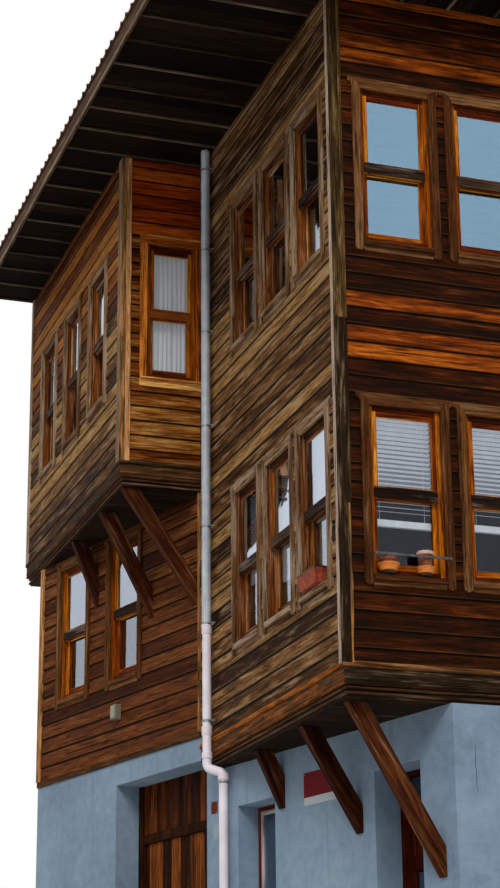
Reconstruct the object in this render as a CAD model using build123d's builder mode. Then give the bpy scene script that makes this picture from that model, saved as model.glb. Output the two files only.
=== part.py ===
from build123d import *
import os
from math import hypot, radians, tan

# A timber-clad town house with saw-tooth overhangs, in millimetres, +Z up.
# The ground floor follows the line of a street that runs askew to the rooms.
# The storeys above it turn square to each other and oversail it on raking brackets.
# The origin is on the ground at the middle of the house's bounding box.

# Plan. Lengths are measured from corner B, the near corner of the oversailing right bay.
SIDE = 4250  # length of the right bay's side wall, from corner B to the inner corner A
OVERSAIL = 1044  # how far corner B stands out in front of the ground floor's corner C
DEPTH = 5320  # length of the right bay's front wall
LEFT_BAY = 950  # how far the left bay stands out beyond the right bay's side wall
LOWER_END = 8050  # from corner B to the end wall of the two lower storeys
UPPER_END = 8860  # from corner B to the end wall of the second floor

# Heights of what is stacked up from the ground
SLAB_TOP = 100
HEAD = 2490  # of the front door and the ground-floor windows
WALL_OVER_HEAD = 440
RIGHT_PLATE_THICK = 120
GATE_HEAD = 3086
GATE_LINTEL = 254
SILL_OVER_SKIRT = 1050  # from the right bay's lower edge to its sills
SILL_OVER_LEFT_SKIRT = 1010
WINDOW_HEIGHT = 1645
OVER_WINDOWS = 660  # from the first-floor window heads to the second floor
OVER_LEFT_WINDOWS = 135
OVER_TOP_WINDOWS = 1080
LEFT_PLATE_THICK = 100
FLOOR_BUILD = 300  # joists, boards and ceiling of a floor

# Walls, floors and plates
PLASTER_WALL = 380
TIMBER_WALL = 180
PLATE_SET_BACK = 30  # the sole plates stay this far behind the wall faces
ATTIC_FLOOR = 180

# Sash windows
WINDOW = 740
NARROW_WINDOW = 680
INNER_CORNER_WINDOW = 593
WINDOW_PITCH = 997
WIDE_PITCH = 1233
CORNER_MARGIN = 296  # from a corner to the first opening
STREET_TIMBER_WINDOWS = (6465, 7735)  # far edges, measured along the street wall from corner C
BACK_WINDOW_GROUPS = (1400, 5400)  # left edges of the first windows, from the front
BACK_GROUP_COUNT = 2
FRAME_SET_BACK = 60  # from the wall face to the window frame
FRAME_THICK = 105
FRAME_MEMBER = 45
SASH_SET_BACK = 10  # from the frame's face to the upper sash
SASH_THICK = 40
SASH_GAP = 4
SASH_STILE = 42
SASH_RAIL = 50
BOTTOM_RAIL = 70
MEETING_RAIL = 118
MEETING_RAIL_LEVEL = 740  # from the sill to the underside of the meeting rail
RAIL_NOSE = 18  # the meeting rail stands this far in front of its sash
GLASS = 6

# Boards nailed round the windows
CASING = 85
INNER_CORNER_CASING = 72
TRIM_GAP = 3  # between trim and the next face
CASING_THICK = 40
CASING_SHOULDER = 66
CASING_RISE = 98  # of the upright boards above the opening
CASING_FOOT = 120  # of the upright boards below the opening
BAND = 122
BAND_THICK = 24
SILL_BOARD = 67
SILL_NOSE = 58
APRON_THICK = 26

# Corner boards and skirt mouldings
CORNER_BOARD_WIDE = 126
CORNER_BOARD_SIDE = 72  # at corner B, on the side wall
CORNER_BOARD_NARROW = 95
CORNER_BOARD_THICK = 34
SKIRT_BOARD = 100
SKIRT_BOARD_THICK = 20
SKIRT_BEAD = 63
SKIRT_BEAD_NOSE = 36

# Raking brackets
BRACKET_DEPTH = 168
BRACKET_THICK = 105
BRACKET_TOE = 25  # width of the level cut across the tip
BRACKET_INSET = 45  # of the right bay's struts behind its sole plate
# Middles, measured from corner B along the side wall, and the levels of the feet
RIGHT_BRACKETS = ((212, 1377), (1440, 1928), (2740, 2348))
LEFT_BRACKETS = ((4360, 4847), (5330, 4909), (6610, 5331))

# Openings in the ground floor, measured along the street wall from corner C
DOOR_FROM = 514
DOOR_TO = 1240
STREET_WINDOW_FROM = 2962
STREET_WINDOW_TO = 3668
STREET_SILL = 1400
GATE_FROM = 4288
GATE_TO = 6290
SIDE_WINDOWS = (1150, 2750)
BACK_WINDOWS = (1700, 5700)
SMALL_WINDOW = 706
GROUND_WINDOW_SET_BACK = 250

# Doors
DOOR_FRAME = 42
DOOR_FRAME_DEPTH = 80
DOOR_STOP = 14
DOOR_STOP_DEPTH = 28
DOOR_LEAF = 44
DOOR_LEAF_TOP = 2050
DOOR_STILE = 95
DOOR_RAIL = 110
DOOR_FOOT_RAIL = 200
DOOR_MIDDLE_RAIL = 780  # level of the rail between the lower panel and the glass
DOOR_UPPER_RAIL = 1560
PANEL_SINK = 14
TRANSOM = 60
RUNNING_GAP = 8
GATE_POST = 90
GATE_LEAF_TOP = 2420
LEDGE = 120  # the gate's cross ledges
LEDGE_THICK = 28
LEDGE_LEVELS = (450, 1300, 2150)
HINGE_RADIUS = 9
HINGE_KNUCKLE = 60
HINGE_PLATE = 4
HINGE_PLATE_WIDTH = 40
HINGE_GAP = 0.3
HINGE_LEVELS = (350, 1850)

# Eaves and roof
EAVE = 750
SOFFIT_THICK = 22
FASCIA_THICK = 26
FASCIA_DROP = 25
TILE_OVERHANG = 40
ROOF_PITCH = 22
ROOF_EDGE = 60
ROOF_INSET = 420  # plan distance from the outer to the inner slope, which gives the roof its thickness

# Rainwater pipe
PIPE = 100
PIPE_WALL_GAP = 44
PIPE_UPPER = 3800  # of the upper length, measured from corner B along the side wall
PIPE_BEND = 70  # legs of the cut across each elbow
PIPE_OFFSET_LEVEL = 2975
PIPE_OFFSET_DROP = 40
PIPE_LOWER = 3805  # of the lower length, measured along the street wall from corner C
PIPE_OUTLET = 150  # above the ground
PIPE_BORE = 90
PIPE_BORE_DEPTH = 300
PIPE_PIN = 24  # square pins from the walls carry the pipe
PIN_LEVELS = (3410, 4480, 5575, 6750, 7880, 8900, 9920)
LOWER_PIN_LEVELS = (800, 2740)

# Small things on the walls
PLAQUE = (583, 328)
PLAQUE_AT = (2138, 2481)  # middle, from corner C and above the ground
NUMBER_PLATE = (122, 128)
NUMBER_PLATE_AT = (4135, 2538)
BELL_PLATE = (135, 170)
BELL_PLATE_AT = (4089, 2279)
PLATE_THICK = 6
GUARD_LEVEL = 153  # of the guard rail above the sill
GUARD_BAR = (6, 24)
GUARD_STAND = 118  # from the wall face to the front of the bar
GUARD_LAP = 20  # of the bar's ends over the casings
POTS = ((166, 130, 150), (160, 112, 232))  # top, foot and height
POT_DISHES = ((218, 160, 88), (184, 148, 80))  # top, foot and height of the dish round each pot
POT_AT = (146, 518)  # from the left edge of the first window
POT_OUT = 34  # from the wall face to the pots' middles
POT_SAUCER = (120, 22)  # diameter and height
POT_RIM = 34
POT_RIM_NOSE = 8
POT_SIDES = 32
POT_WALL = 9
EARTH_DROP = 22  # from the rim to the earth
TROUGH = (470, 165, 160)
TROUGH_OUT = 34

# Levels above the ground
RIGHT_PLATE = HEAD + WALL_OVER_HEAD  # underside of the right bay's sole plate
RIGHT_SKIRT = RIGHT_PLATE + RIGHT_PLATE_THICK  # lower edge of the right bay's walls
LEFT_SKIRT = GATE_HEAD + GATE_LINTEL  # lower edge of the timber wall over the gate
SILL_FIRST = RIGHT_SKIRT + SILL_OVER_SKIRT
SILL_FIRST_LEFT = LEFT_SKIRT + SILL_OVER_LEFT_SKIRT
SECOND_SKIRT = SILL_FIRST + WINDOW_HEIGHT + OVER_WINDOWS  # where the right bay's upper walls start
SILL_SECOND = SECOND_SKIRT + SILL_OVER_SKIRT
LEFT_BAY_PLATE = SILL_FIRST_LEFT + WINDOW_HEIGHT + OVER_LEFT_WINDOWS  # underside of the left bay
LEFT_BAY_SKIRT = LEFT_BAY_PLATE + LEFT_PLATE_THICK
EAVES = SILL_SECOND + WINDOW_HEIGHT + OVER_TOP_WINDOWS  # underside of the eaves boarding

box_x = (LEFT_BAY + EAVE + TILE_OVERHANG, DEPTH + EAVE + TILE_OVERHANG)
box_y = (EAVE + TILE_OVERHANG, UPPER_END + FASCIA_THICK)
BX = (box_x[0] - box_x[1]) / 2
BY = (box_y[0] - box_y[1]) / 2

corner_b = (BX, BY)
corner_c = (BX + OVERSAIL, BY)
corner_d = (BX + DEPTH, BY)
lower_back = (BX + DEPTH, BY + LOWER_END)
lower_end = (BX + OVERSAIL * (1 - LOWER_END / SIDE), BY + LOWER_END)
corner_a = (BX, BY + SIDE)
left_bay_corner = (BX - LEFT_BAY, BY + SIDE)
upper_end = (BX - LEFT_BAY, BY + UPPER_END)
upper_back = (BX + DEPTH, BY + UPPER_END)

# Outlines run anticlockwise seen from above
GROUND = [corner_c, corner_d, lower_back, lower_end]
FIRST = [corner_b, corner_d, lower_back, lower_end, corner_a]
SECOND = [corner_b, corner_d, upper_back, upper_end, left_bay_corner, corner_a]


def inset(points, distance):
    """The corners of an outline moved inwards, each side by the same distance."""
    corners = []
    for i, here in enumerate(points):
        before, after = points[i - 1], points[(i + 1) % len(points)]
        first = Vector(here[0] - before[0], here[1] - before[1]).normalized()
        second = Vector(after[0] - here[0], after[1] - here[1]).normalized()
        inward = Vector(-first.Y - second.Y, first.X + second.X)
        reach = distance / (1 + first.dot(second))
        corners.append((here[0] + inward.X * reach, here[1] + inward.Y * reach))
    return corners


def face_plane(start, end):
    """The plane of a wall face: x runs along the wall from start, y is up and z points outwards."""
    along = Vector(end[0] - start[0], end[1] - start[1]).normalized()
    return Plane(origin=(start[0], start[1], 0), x_dir=along, z_dir=(along.Y, -along.X, 0))


def length(start, end):
    return hypot(end[0] - start[0], end[1] - start[1])


side_face = face_plane(corner_a, corner_b)
front_face = face_plane(corner_b, corner_d)
left_bay_front = face_plane(left_bay_corner, corner_a)
left_bay_side = face_plane(upper_end, left_bay_corner)
street_face = face_plane(lower_end, corner_c)
ground_side_face = face_plane(corner_c, corner_d)
back_face = face_plane(corner_d, upper_back)
street_length = length(lower_end, corner_c)
left_bay_length = UPPER_END - SIDE


def street_point(along, inward=0.0):
    """A plan point at a distance from corner C along the street wall, set inwards from its face."""
    p = street_face.from_local_coords(Vector(street_length - along, 0, -inward))
    return (p.X, p.Y)


def prism(points, bottom, top):
    """An upright prism on a plan outline."""
    with BuildPart() as body:
        with BuildSketch(Plane.XY.offset(bottom)):
            with BuildLine():
                Polyline(*points, close=True)
            make_face()
        extrude(amount=top - bottom)
    return body.part


def wall(outline, thickness, side, bottom, top, openings=()):
    """One mitred wall of an outline. Openings are (plane, left, sill, width, height)."""
    inner = inset(outline, thickness)
    after = (side + 1) % len(outline)
    with BuildPart() as body:
        add(prism([outline[side], outline[after], inner[after], inner[side]], bottom, top))
        for plane, left, sill, width, height in openings:
            with BuildSketch(plane):
                with Locations((left + width / 2, sill + height / 2)):
                    Rectangle(width, height)
            extrude(amount=-2 * thickness, mode=Mode.SUBTRACT)
    return body.part


os.makedirs("parts", exist_ok=True)


def finish(name, part):
    part.label = name
    export_step(part, f"parts/{name}.step")


# Where the sash windows are: wall face, left edge of each opening, sill level and width
front_count = (DEPTH - 2 * CORNER_MARGIN + WINDOW_PITCH - WINDOW) // WINDOW_PITCH
front_lefts = [CORNER_MARGIN + i * WINDOW_PITCH for i in range(int(front_count))]
side_lefts = [SIDE - CORNER_MARGIN - WINDOW - i * WINDOW_PITCH for i in range(3)]
street_lefts = [street_length - end for end in STREET_TIMBER_WINDOWS]
left_bay_lefts = [left_bay_length / 2 + i * WIDE_PITCH - NARROW_WINDOW / 2 for i in (-1, 0, 1)]
back_lefts = [first + i * WINDOW_PITCH for first in BACK_WINDOW_GROUPS for i in range(BACK_GROUP_COUNT)]

inner_corner_left = LEFT_BAY - INNER_CORNER_CASING - INNER_CORNER_WINDOW - TRIM_GAP

FIRST_WINDOWS = {
    "side": (side_face, side_lefts, SILL_FIRST, WINDOW),
    "front": (front_face, front_lefts, SILL_FIRST, WINDOW),
    "street": (street_face, street_lefts, SILL_FIRST_LEFT, NARROW_WINDOW),
    "back": (back_face, back_lefts, SILL_FIRST_LEFT, WINDOW),
}
SECOND_WINDOWS = {
    "side": (side_face, side_lefts, SILL_SECOND, WINDOW),
    "front": (front_face, front_lefts, SILL_SECOND, WINDOW),
    "left_bay_front": (left_bay_front, [inner_corner_left], SILL_SECOND, INNER_CORNER_WINDOW),
    "left_bay_side": (left_bay_side, left_bay_lefts, SILL_SECOND, NARROW_WINDOW),
    "back": (back_face, back_lefts, SILL_SECOND, WINDOW),
}


def cuts(row):
    plane, lefts, sill, width = row
    return [(plane, left, sill, width, WINDOW_HEIGHT) for left in lefts]


# Ground floor: a slab, plastered masonry walls split beside and over the doorways
finish("ground_floor", prism(GROUND, 0, SLAB_TOP))

ground_inner = inset(GROUND, PLASTER_WALL)
corner_pier = [street_point(DOOR_FROM), corner_c, ground_inner[0], street_point(DOOR_FROM, PLASTER_WALL)]
finish("street_wall_corner", prism(corner_pier, SLAB_TOP, RIGHT_PLATE))


def street_wall(start, end, bottom, top):
    """A length of the street wall between two distances from corner C."""
    outer = [street_point(end), street_point(start)]
    inner = [street_point(start, PLASTER_WALL), street_point(end, PLASTER_WALL)]
    return prism(outer + inner, bottom, top)


finish("street_wall_over_door", street_wall(DOOR_FROM, DOOR_TO, HEAD, RIGHT_PLATE))

with BuildPart() as street_middle:
    add(street_wall(DOOR_TO, GATE_FROM, SLAB_TOP, RIGHT_PLATE))
    street_window_middle = street_length - (STREET_WINDOW_FROM + STREET_WINDOW_TO) / 2
    with BuildSketch(street_face):
        with Locations((street_window_middle, (STREET_SILL + HEAD) / 2)):
            Rectangle(STREET_WINDOW_TO - STREET_WINDOW_FROM, HEAD - STREET_SILL)
    extrude(amount=-2 * PLASTER_WALL, mode=Mode.SUBTRACT)
finish("street_wall_middle", street_middle.part)

# The lintel over the gate starts at corner A, where the right bay's plate ends
lintel_back = inset(FIRST, PLASTER_WALL)[4]
over_gate = [street_point(GATE_TO), corner_a, lintel_back, street_point(GATE_TO, PLASTER_WALL)]
finish("street_wall_over_gate", prism(over_gate, GATE_HEAD, LEFT_SKIRT))

left_pier = [lower_end, street_point(GATE_TO), street_point(GATE_TO, PLASTER_WALL), ground_inner[3]]
finish("street_wall_left", prism(left_pier, SLAB_TOP, LEFT_SKIRT))

# The right bay's floor steps down from the left part's along this line
first_inner = inset(FIRST, TIMBER_WALL)
floor_step = first_inner[4][1] - BY

small_height = HEAD - STREET_SILL
side_openings = [(ground_side_face, left, STREET_SILL, SMALL_WINDOW, small_height) for left in SIDE_WINDOWS]
finish("side_wall_ground", wall(GROUND, PLASTER_WALL, 0, SLAB_TOP, RIGHT_PLATE, side_openings))

back_openings = [(back_face, left, STREET_SILL, SMALL_WINDOW, small_height) for left in BACK_WINDOWS]
with BuildPart() as back_ground:
    add(wall(GROUND, PLASTER_WALL, 1, SLAB_TOP, LEFT_SKIRT, back_openings))
    with BuildSketch(back_face):
        with Locations((floor_step / 2, (RIGHT_PLATE + LEFT_SKIRT) / 2)):
            Rectangle(floor_step, LEFT_SKIRT - RIGHT_PLATE)
    extrude(amount=-2 * PLASTER_WALL, mode=Mode.SUBTRACT)
    add(wall(GROUND, PLASTER_WALL, 2, SLAB_TOP, LEFT_SKIRT))
finish("rear_walls_ground", back_ground.part)

# First floor: the right bay's sole plate carries its walls, the left part stands on the plaster walls
right_plate_outline = [
    (BX + PLATE_SET_BACK, BY + PLATE_SET_BACK),
    (BX + DEPTH - PLATE_SET_BACK, BY + PLATE_SET_BACK),
    (BX + DEPTH - PLATE_SET_BACK, BY + SIDE),
    (BX + PLATE_SET_BACK, BY + SIDE),
]
right_deck_outline = [
    first_inner[0],
    first_inner[1],
    (first_inner[1][0], first_inner[4][1]),
    first_inner[4],
]
finish("right_bay_sole_plate", prism(right_plate_outline, RIGHT_PLATE, RIGHT_SKIRT))
left_deck_outline = [
    first_inner[4],
    (first_inner[2][0], first_inner[4][1]),
    first_inner[2],
    first_inner[3],
]
with BuildPart() as first_floor:
    add(prism(right_deck_outline, RIGHT_SKIRT, RIGHT_SKIRT + FLOOR_BUILD))
    add(prism(left_deck_outline, LEFT_SKIRT, LEFT_SKIRT + FLOOR_BUILD))
finish("first_floor", first_floor.part)

side_cuts = cuts(FIRST_WINDOWS["side"])
finish("bay_side_wall_first", wall(FIRST, TIMBER_WALL, 4, RIGHT_SKIRT, SECOND_SKIRT, side_cuts))
front_cuts = cuts(FIRST_WINDOWS["front"])
finish("bay_front_wall_first", wall(FIRST, TIMBER_WALL, 0, RIGHT_SKIRT, SECOND_SKIRT, front_cuts))
street_cuts = cuts(FIRST_WINDOWS["street"])
finish("street_timber_wall", wall(FIRST, TIMBER_WALL, 3, LEFT_SKIRT, LEFT_BAY_PLATE, street_cuts))
with BuildPart() as back_first:
    add(wall(FIRST, TIMBER_WALL, 1, RIGHT_SKIRT, LEFT_BAY_PLATE, cuts(FIRST_WINDOWS["back"])))
    with BuildSketch(back_face):
        with Locations((floor_step + LOWER_END / 2, (RIGHT_SKIRT + LEFT_SKIRT) / 2)):
            Rectangle(LOWER_END, LEFT_SKIRT - RIGHT_SKIRT)
    extrude(amount=-2 * TIMBER_WALL, mode=Mode.SUBTRACT)
    add(wall(FIRST, TIMBER_WALL, 2, LEFT_SKIRT, LEFT_BAY_PLATE))
finish("rear_walls_first", back_first.part)

# Second floor: the left bay's sole plate closes the overhang, its walls turn square to the right bay's
left_plate_outline = [
    (left_bay_corner[0] + PLATE_SET_BACK, left_bay_corner[1] + PLATE_SET_BACK),
    (BX + DEPTH - TIMBER_WALL, left_bay_corner[1] + PLATE_SET_BACK),
    (BX + DEPTH - TIMBER_WALL, upper_end[1] - PLATE_SET_BACK),
    (upper_end[0] + PLATE_SET_BACK, upper_end[1] - PLATE_SET_BACK),
]
finish("left_bay_sole_plate", prism(left_plate_outline, LEFT_BAY_PLATE, LEFT_BAY_SKIRT))
finish("second_floor", prism(inset(SECOND, TIMBER_WALL), SECOND_SKIRT, SECOND_SKIRT + FLOOR_BUILD))
upper_side_cuts = cuts(SECOND_WINDOWS["side"])
finish("bay_side_wall_second", wall(SECOND, TIMBER_WALL, 5, SECOND_SKIRT, EAVES, upper_side_cuts))
upper_front_cuts = cuts(SECOND_WINDOWS["front"])
finish("bay_front_wall_second", wall(SECOND, TIMBER_WALL, 0, SECOND_SKIRT, EAVES, upper_front_cuts))
bay_front_cuts = cuts(SECOND_WINDOWS["left_bay_front"])
finish("left_bay_front_wall", wall(SECOND, TIMBER_WALL, 4, LEFT_BAY_SKIRT, EAVES, bay_front_cuts))
bay_side_cuts = cuts(SECOND_WINDOWS["left_bay_side"])
finish("left_bay_side_wall", wall(SECOND, TIMBER_WALL, 3, LEFT_BAY_SKIRT, EAVES, bay_side_cuts))
with BuildPart() as rear_second:
    add(wall(SECOND, TIMBER_WALL, 1, LEFT_BAY_PLATE, EAVES, cuts(SECOND_WINDOWS["back"])))
    add(wall(SECOND, TIMBER_WALL, 2, LEFT_BAY_SKIRT, EAVES))
finish("rear_walls_second", rear_second.part)
finish("attic_floor", prism(SECOND, EAVES, EAVES + ATTIC_FLOOR))


def facing(points, thick, bottom, top):
    """A board on the outside of a run of wall faces, mitred where they turn and square at its ends."""
    outer = []
    for i, here in enumerate(points):
        before = points[max(i - 1, 0)]
        after = points[min(i + 1, len(points) - 1)]
        first = Vector(here[0] - before[0], here[1] - before[1])
        second = Vector(after[0] - here[0], after[1] - here[1])
        if i == 0:
            first = second
        if i == len(points) - 1:
            second = first
        first = first.normalized()
        second = second.normalized()
        reach = thick / (1 + first.dot(second))
        outer.append((here[0] + (first.Y + second.Y) * reach, here[1] - (first.X + second.X) * reach))
    return prism(list(points) + outer[::-1], bottom, top)


def along(start, end, distance):
    """A plan point at a distance from start on the way to end."""
    share = distance / length(start, end)
    return (start[0] + (end[0] - start[0]) * share, start[1] + (end[1] - start[1]) * share)


# Skirt boards and beads along the foot of the timber walls
step_point = along(corner_d, upper_back, floor_step)
skirt_runs = [
    ([corner_a, corner_b, corner_d, step_point], RIGHT_SKIRT),
    ([upper_end, left_bay_corner, corner_a], LEFT_BAY_SKIRT),
]
with BuildPart() as skirt:
    for run, level in skirt_runs:
        add(facing(run, SKIRT_BOARD_THICK, level, level + SKIRT_BOARD))
        add(facing(run, SKIRT_BEAD_NOSE, level + SKIRT_BOARD, level + SKIRT_BOARD + SKIRT_BEAD))
    for run in ([lower_end, along(corner_a, lower_end, SKIRT_BOARD_THICK)], [step_point, lower_back]):
        add(facing(run, SKIRT_BOARD_THICK, LEFT_SKIRT, LEFT_SKIRT + SKIRT_BEAD))
finish("skirt_mouldings", skirt.part)

# Corner boards stand on the beads
right_bead_top = RIGHT_SKIRT + SKIRT_BOARD + SKIRT_BEAD
left_bead_top = LEFT_BAY_SKIRT + SKIRT_BOARD + SKIRT_BEAD
wide, narrow = CORNER_BOARD_WIDE, CORNER_BOARD_NARROW
with BuildPart() as corners:
    side_edge = along(corner_b, corner_a, CORNER_BOARD_SIDE)
    run = [side_edge, corner_b, along(corner_b, corner_d, narrow)]
    add(facing(run, CORNER_BOARD_THICK, right_bead_top, EAVES))
    run = [along(corner_d, corner_b, narrow), corner_d, along(corner_d, upper_back, wide)]
    add(facing(run, CORNER_BOARD_THICK, right_bead_top, EAVES))
    side_edge = along(left_bay_corner, upper_end, wide)
    run = [side_edge, left_bay_corner, along(left_bay_corner, corner_a, narrow)]
    add(facing(run, CORNER_BOARD_THICK, left_bead_top, EAVES))
    run = [upper_end, along(upper_end, left_bay_corner, narrow)]
    add(facing(run, CORNER_BOARD_THICK, left_bead_top, EAVES))
    run = [lower_end, along(lower_end, corner_a, narrow)]
    add(facing(run, CORNER_BOARD_THICK, LEFT_SKIRT + SKIRT_BEAD, LEFT_BAY_PLATE))
finish("corner_boards", corners.part)


def at_windows(row):
    """Where each window of a row stands: the lower left corner of its opening, on the wall face."""
    plane, lefts, sill, width = row
    return [plane.location * Location((left, sill, 0)) for left in lefts]


def upright(edge, outward, width):
    """A casing upright beside an opening edge; its top curves away from the opening."""
    shoulder = min(CASING_SHOULDER, width)
    with BuildSketch() as profile:
        with BuildLine():
            side = Line((0, -CASING_FOOT), (0, WINDOW_HEIGHT))
            crown = TangentArc(side @ 1, (shoulder, WINDOW_HEIGHT + CASING_RISE), tangent=(0, 1))
            Polyline(crown @ 1, (width, WINDOW_HEIGHT + CASING_RISE), (width, -CASING_FOOT), side @ 0)
        make_face()
    turned = profile.sketch if outward > 0 else mirror(profile.sketch, about=Plane.YZ)
    return turned.moved(Location((edge, 0, 0)))


def casing(width, right_casing=CASING):
    """The boards round one window: two uprights, the sill and the apron under it."""
    with BuildPart() as boards:
        with BuildSketch():
            add(upright(width, 1, right_casing))
            add(upright(0, -1, CASING))
        extrude(amount=CASING_THICK)
        with BuildSketch():
            with Locations((width / 2, -SILL_BOARD / 2)):
                Rectangle(width, SILL_BOARD)
        extrude(amount=SILL_NOSE)
        with BuildSketch():
            with Locations((width / 2, -(SILL_BOARD + CASING_FOOT) / 2)):
                Rectangle(width, CASING_FOOT - SILL_BOARD)
        extrude(amount=APRON_THICK)
    return boards.part


def casings(rows):
    """The casings of several rows of windows, each row tied together by its head band."""
    with BuildPart() as trim:
        for name, row in rows.items():
            plane, lefts, sill, width = row
            inner_corner = name == "left_bay_front"
            last = INNER_CORNER_CASING if inner_corner else CASING
            with Locations(*at_windows(row)):
                add(casing(width, last))
            for first, end in band_spans(lefts, width, last):
                with BuildSketch(plane):
                    with Locations(((first + end) / 2, sill + WINDOW_HEIGHT + BAND / 2)):
                        Rectangle(end - first, BAND)
                extrude(amount=BAND_THICK)
    return trim.part


def band_spans(lefts, width, last):
    """The stretches of head band: one for each group of windows that stand a pitch apart."""
    spans = []
    for left in sorted(lefts):
        if spans and left - CASING - spans[-1][1] < 2 * CASING:
            spans[-1][1] = left + width + last
        else:
            spans.append([left - CASING, left + width + last])
    return spans


finish("window_casings_first", casings(FIRST_WINDOWS))
finish("window_casings_second", casings(SECOND_WINDOWS))


def sash(width, bottom, top, foot, head, front):
    """One sash of a window and the pane it holds, its front at a depth behind the wall face."""
    stile_to_stile = width - 2 * FRAME_MEMBER
    pane = (stile_to_stile - 2 * SASH_STILE, top - head - bottom - foot)
    pane_middle = (width / 2, (bottom + foot + top - head) / 2)
    with BuildPart() as timber:
        with BuildSketch(Plane.XY.offset(front)):
            with Locations((width / 2, (bottom + top) / 2)):
                Rectangle(stile_to_stile, top - bottom)
            with Locations(pane_middle):
                Rectangle(*pane, mode=Mode.SUBTRACT)
        extrude(amount=-SASH_THICK)
    with BuildPart() as glass:
        with BuildSketch(Plane.XY.offset(front - (SASH_THICK - GLASS) / 2)):
            with Locations(pane_middle):
                Rectangle(*pane)
        extrude(amount=-GLASS)
    return timber.part, glass.part


def sash_window(width):
    """A box frame with two sashes. The upper one stands in front, and its meeting rail has a nose."""
    upper_front = -FRAME_SET_BACK - SASH_SET_BACK
    lower_front = upper_front - SASH_THICK - SASH_GAP
    meeting_top = MEETING_RAIL_LEVEL + MEETING_RAIL
    head = WINDOW_HEIGHT - FRAME_MEMBER
    upper, upper_pane = sash(width, MEETING_RAIL_LEVEL, head, MEETING_RAIL, SASH_RAIL, upper_front)
    lower, lower_pane = sash(width, FRAME_MEMBER, meeting_top, BOTTOM_RAIL, MEETING_RAIL, lower_front)
    with BuildPart() as frame:
        with BuildSketch(Plane.XY.offset(-FRAME_SET_BACK)):
            with Locations((width / 2, WINDOW_HEIGHT / 2)):
                Rectangle(width, WINDOW_HEIGHT)
                Rectangle(width - 2 * FRAME_MEMBER, WINDOW_HEIGHT - 2 * FRAME_MEMBER, mode=Mode.SUBTRACT)
        extrude(amount=-FRAME_THICK)
        add(upper)
        add(lower)
        with BuildSketch(Plane.XY.offset(upper_front)):
            with Locations((width / 2, (MEETING_RAIL_LEVEL + meeting_top) / 2)):
                Rectangle(width - 2 * FRAME_MEMBER, MEETING_RAIL)
        extrude(amount=RAIL_NOSE)
    return frame.part, upper_pane, lower_pane


def frames_and_glass(rows):
    with BuildPart() as frames:
        for row in rows.values():
            with Locations(*at_windows(row)):
                add(sash_window(row[3])[0])
    with BuildPart() as panes:
        for row in rows.values():
            frame, upper_pane, lower_pane = sash_window(row[3])
            with Locations(*at_windows(row)):
                add(upper_pane)
                add(lower_pane)
    return frames.part, panes.part


first_frames, first_panes = frames_and_glass(FIRST_WINDOWS)
second_frames, second_panes = frames_and_glass(SECOND_WINDOWS)
finish("window_frames_first", first_frames)
finish("window_frames_second", second_frames)
finish("window_glass_first", first_panes)
finish("window_glass_second", second_panes)


# Brackets rake out square to the upper side walls, and their feet are cut to the street wall
def bracket(middle, foot, tip_x, plate):
    """A strut at a distance along the side wall, from the street line up to a plate that oversails it."""
    y = BY + middle
    wall_x = corner_c[0] - OVERSAIL * middle / SIDE
    foot_x = wall_x - BRACKET_TOE
    rise = (plate - foot) / (foot_x - tip_x)
    level_width = BRACKET_DEPTH * hypot(1, rise) / rise
    far = wall_x + BRACKET_THICK
    with BuildPart() as strut:
        with BuildSketch(Plane.XZ.offset(-y)):
            with BuildLine():
                Polyline(
                    (tip_x, plate),
                    (foot_x, foot),
                    (far, foot),
                    (far, plate - rise * (far - tip_x - level_width)),
                    (tip_x + level_width, plate),
                    close=True,
                )
            make_face()
        extrude(amount=BRACKET_THICK / 2, both=True)
        behind = [corner_c, lower_end, lower_back, corner_d]
        add(prism(behind, 0, plate), mode=Mode.SUBTRACT)
    return strut.part


with BuildPart() as brackets:
    for middle, foot in RIGHT_BRACKETS:
        add(bracket(middle, foot, BX + PLATE_SET_BACK + BRACKET_INSET, RIGHT_PLATE))
    for middle, foot in LEFT_BRACKETS:
        add(bracket(middle, foot, BX - LEFT_BAY + PLATE_SET_BACK, LEFT_BAY_PLATE))
finish("raking_brackets", brackets.part)

# Eaves: soffit boarding out to a fascia on three sides, cut flush at the end wall
eave_end = BY + UPPER_END + FASCIA_THICK
eave_left = BX - LEFT_BAY - EAVE
eave_right = BX + DEPTH + EAVE
eave_front = BY - EAVE
roof_base = EAVES + ATTIC_FLOOR


def grown(distance, end=eave_end):
    """The eaves outline moved outwards on its three open sides."""
    return [
        (eave_left - distance, end),
        (eave_left - distance, eave_front - distance),
        (eave_right + distance, eave_front - distance),
        (eave_right + distance, end),
    ]


inside_fascia = grown(-FASCIA_THICK, BY + UPPER_END)
with BuildPart() as eaves:
    add(prism(grown(0), EAVES - FASCIA_DROP, roof_base))
    add(prism(inside_fascia, EAVES - FASCIA_DROP, EAVES), mode=Mode.SUBTRACT)
    add(prism(inside_fascia, EAVES + SOFFIT_THICK, roof_base), mode=Mode.SUBTRACT)
    add(prism(SECOND, EAVES - FASCIA_DROP, roof_base), mode=Mode.SUBTRACT)
finish("eaves", eaves.part)


def hipped(outset, base, edge, end):
    """A solid roof form: a ridge roof with a hip at the front, square at the end wall."""
    outline = grown(outset)
    left, right, front = outline[0][0], outline[2][0], outline[1][1]
    rise = tan(radians(ROOF_PITCH))
    half = (right - left) / 2
    with BuildPart() as body:
        with BuildSketch(Plane.XZ.offset(-end)):
            with BuildLine():
                Polyline(
                    (left, base),
                    (right, base),
                    (right, base + edge),
                    (left + half, base + edge + half * rise),
                    (left, base + edge),
                    close=True,
                )
            make_face()
        extrude(amount=end - front)
        with BuildSketch(Plane.YZ.offset(left)):
            with BuildLine():
                Polyline(
                    (front, base + edge),
                    (front + half, base + edge + half * rise),
                    (front + half, base + edge + half),
                    (front, base + edge + half),
                    close=True,
                )
            make_face()
        extrude(amount=2 * half, mode=Mode.SUBTRACT)
    return body.part


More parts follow.
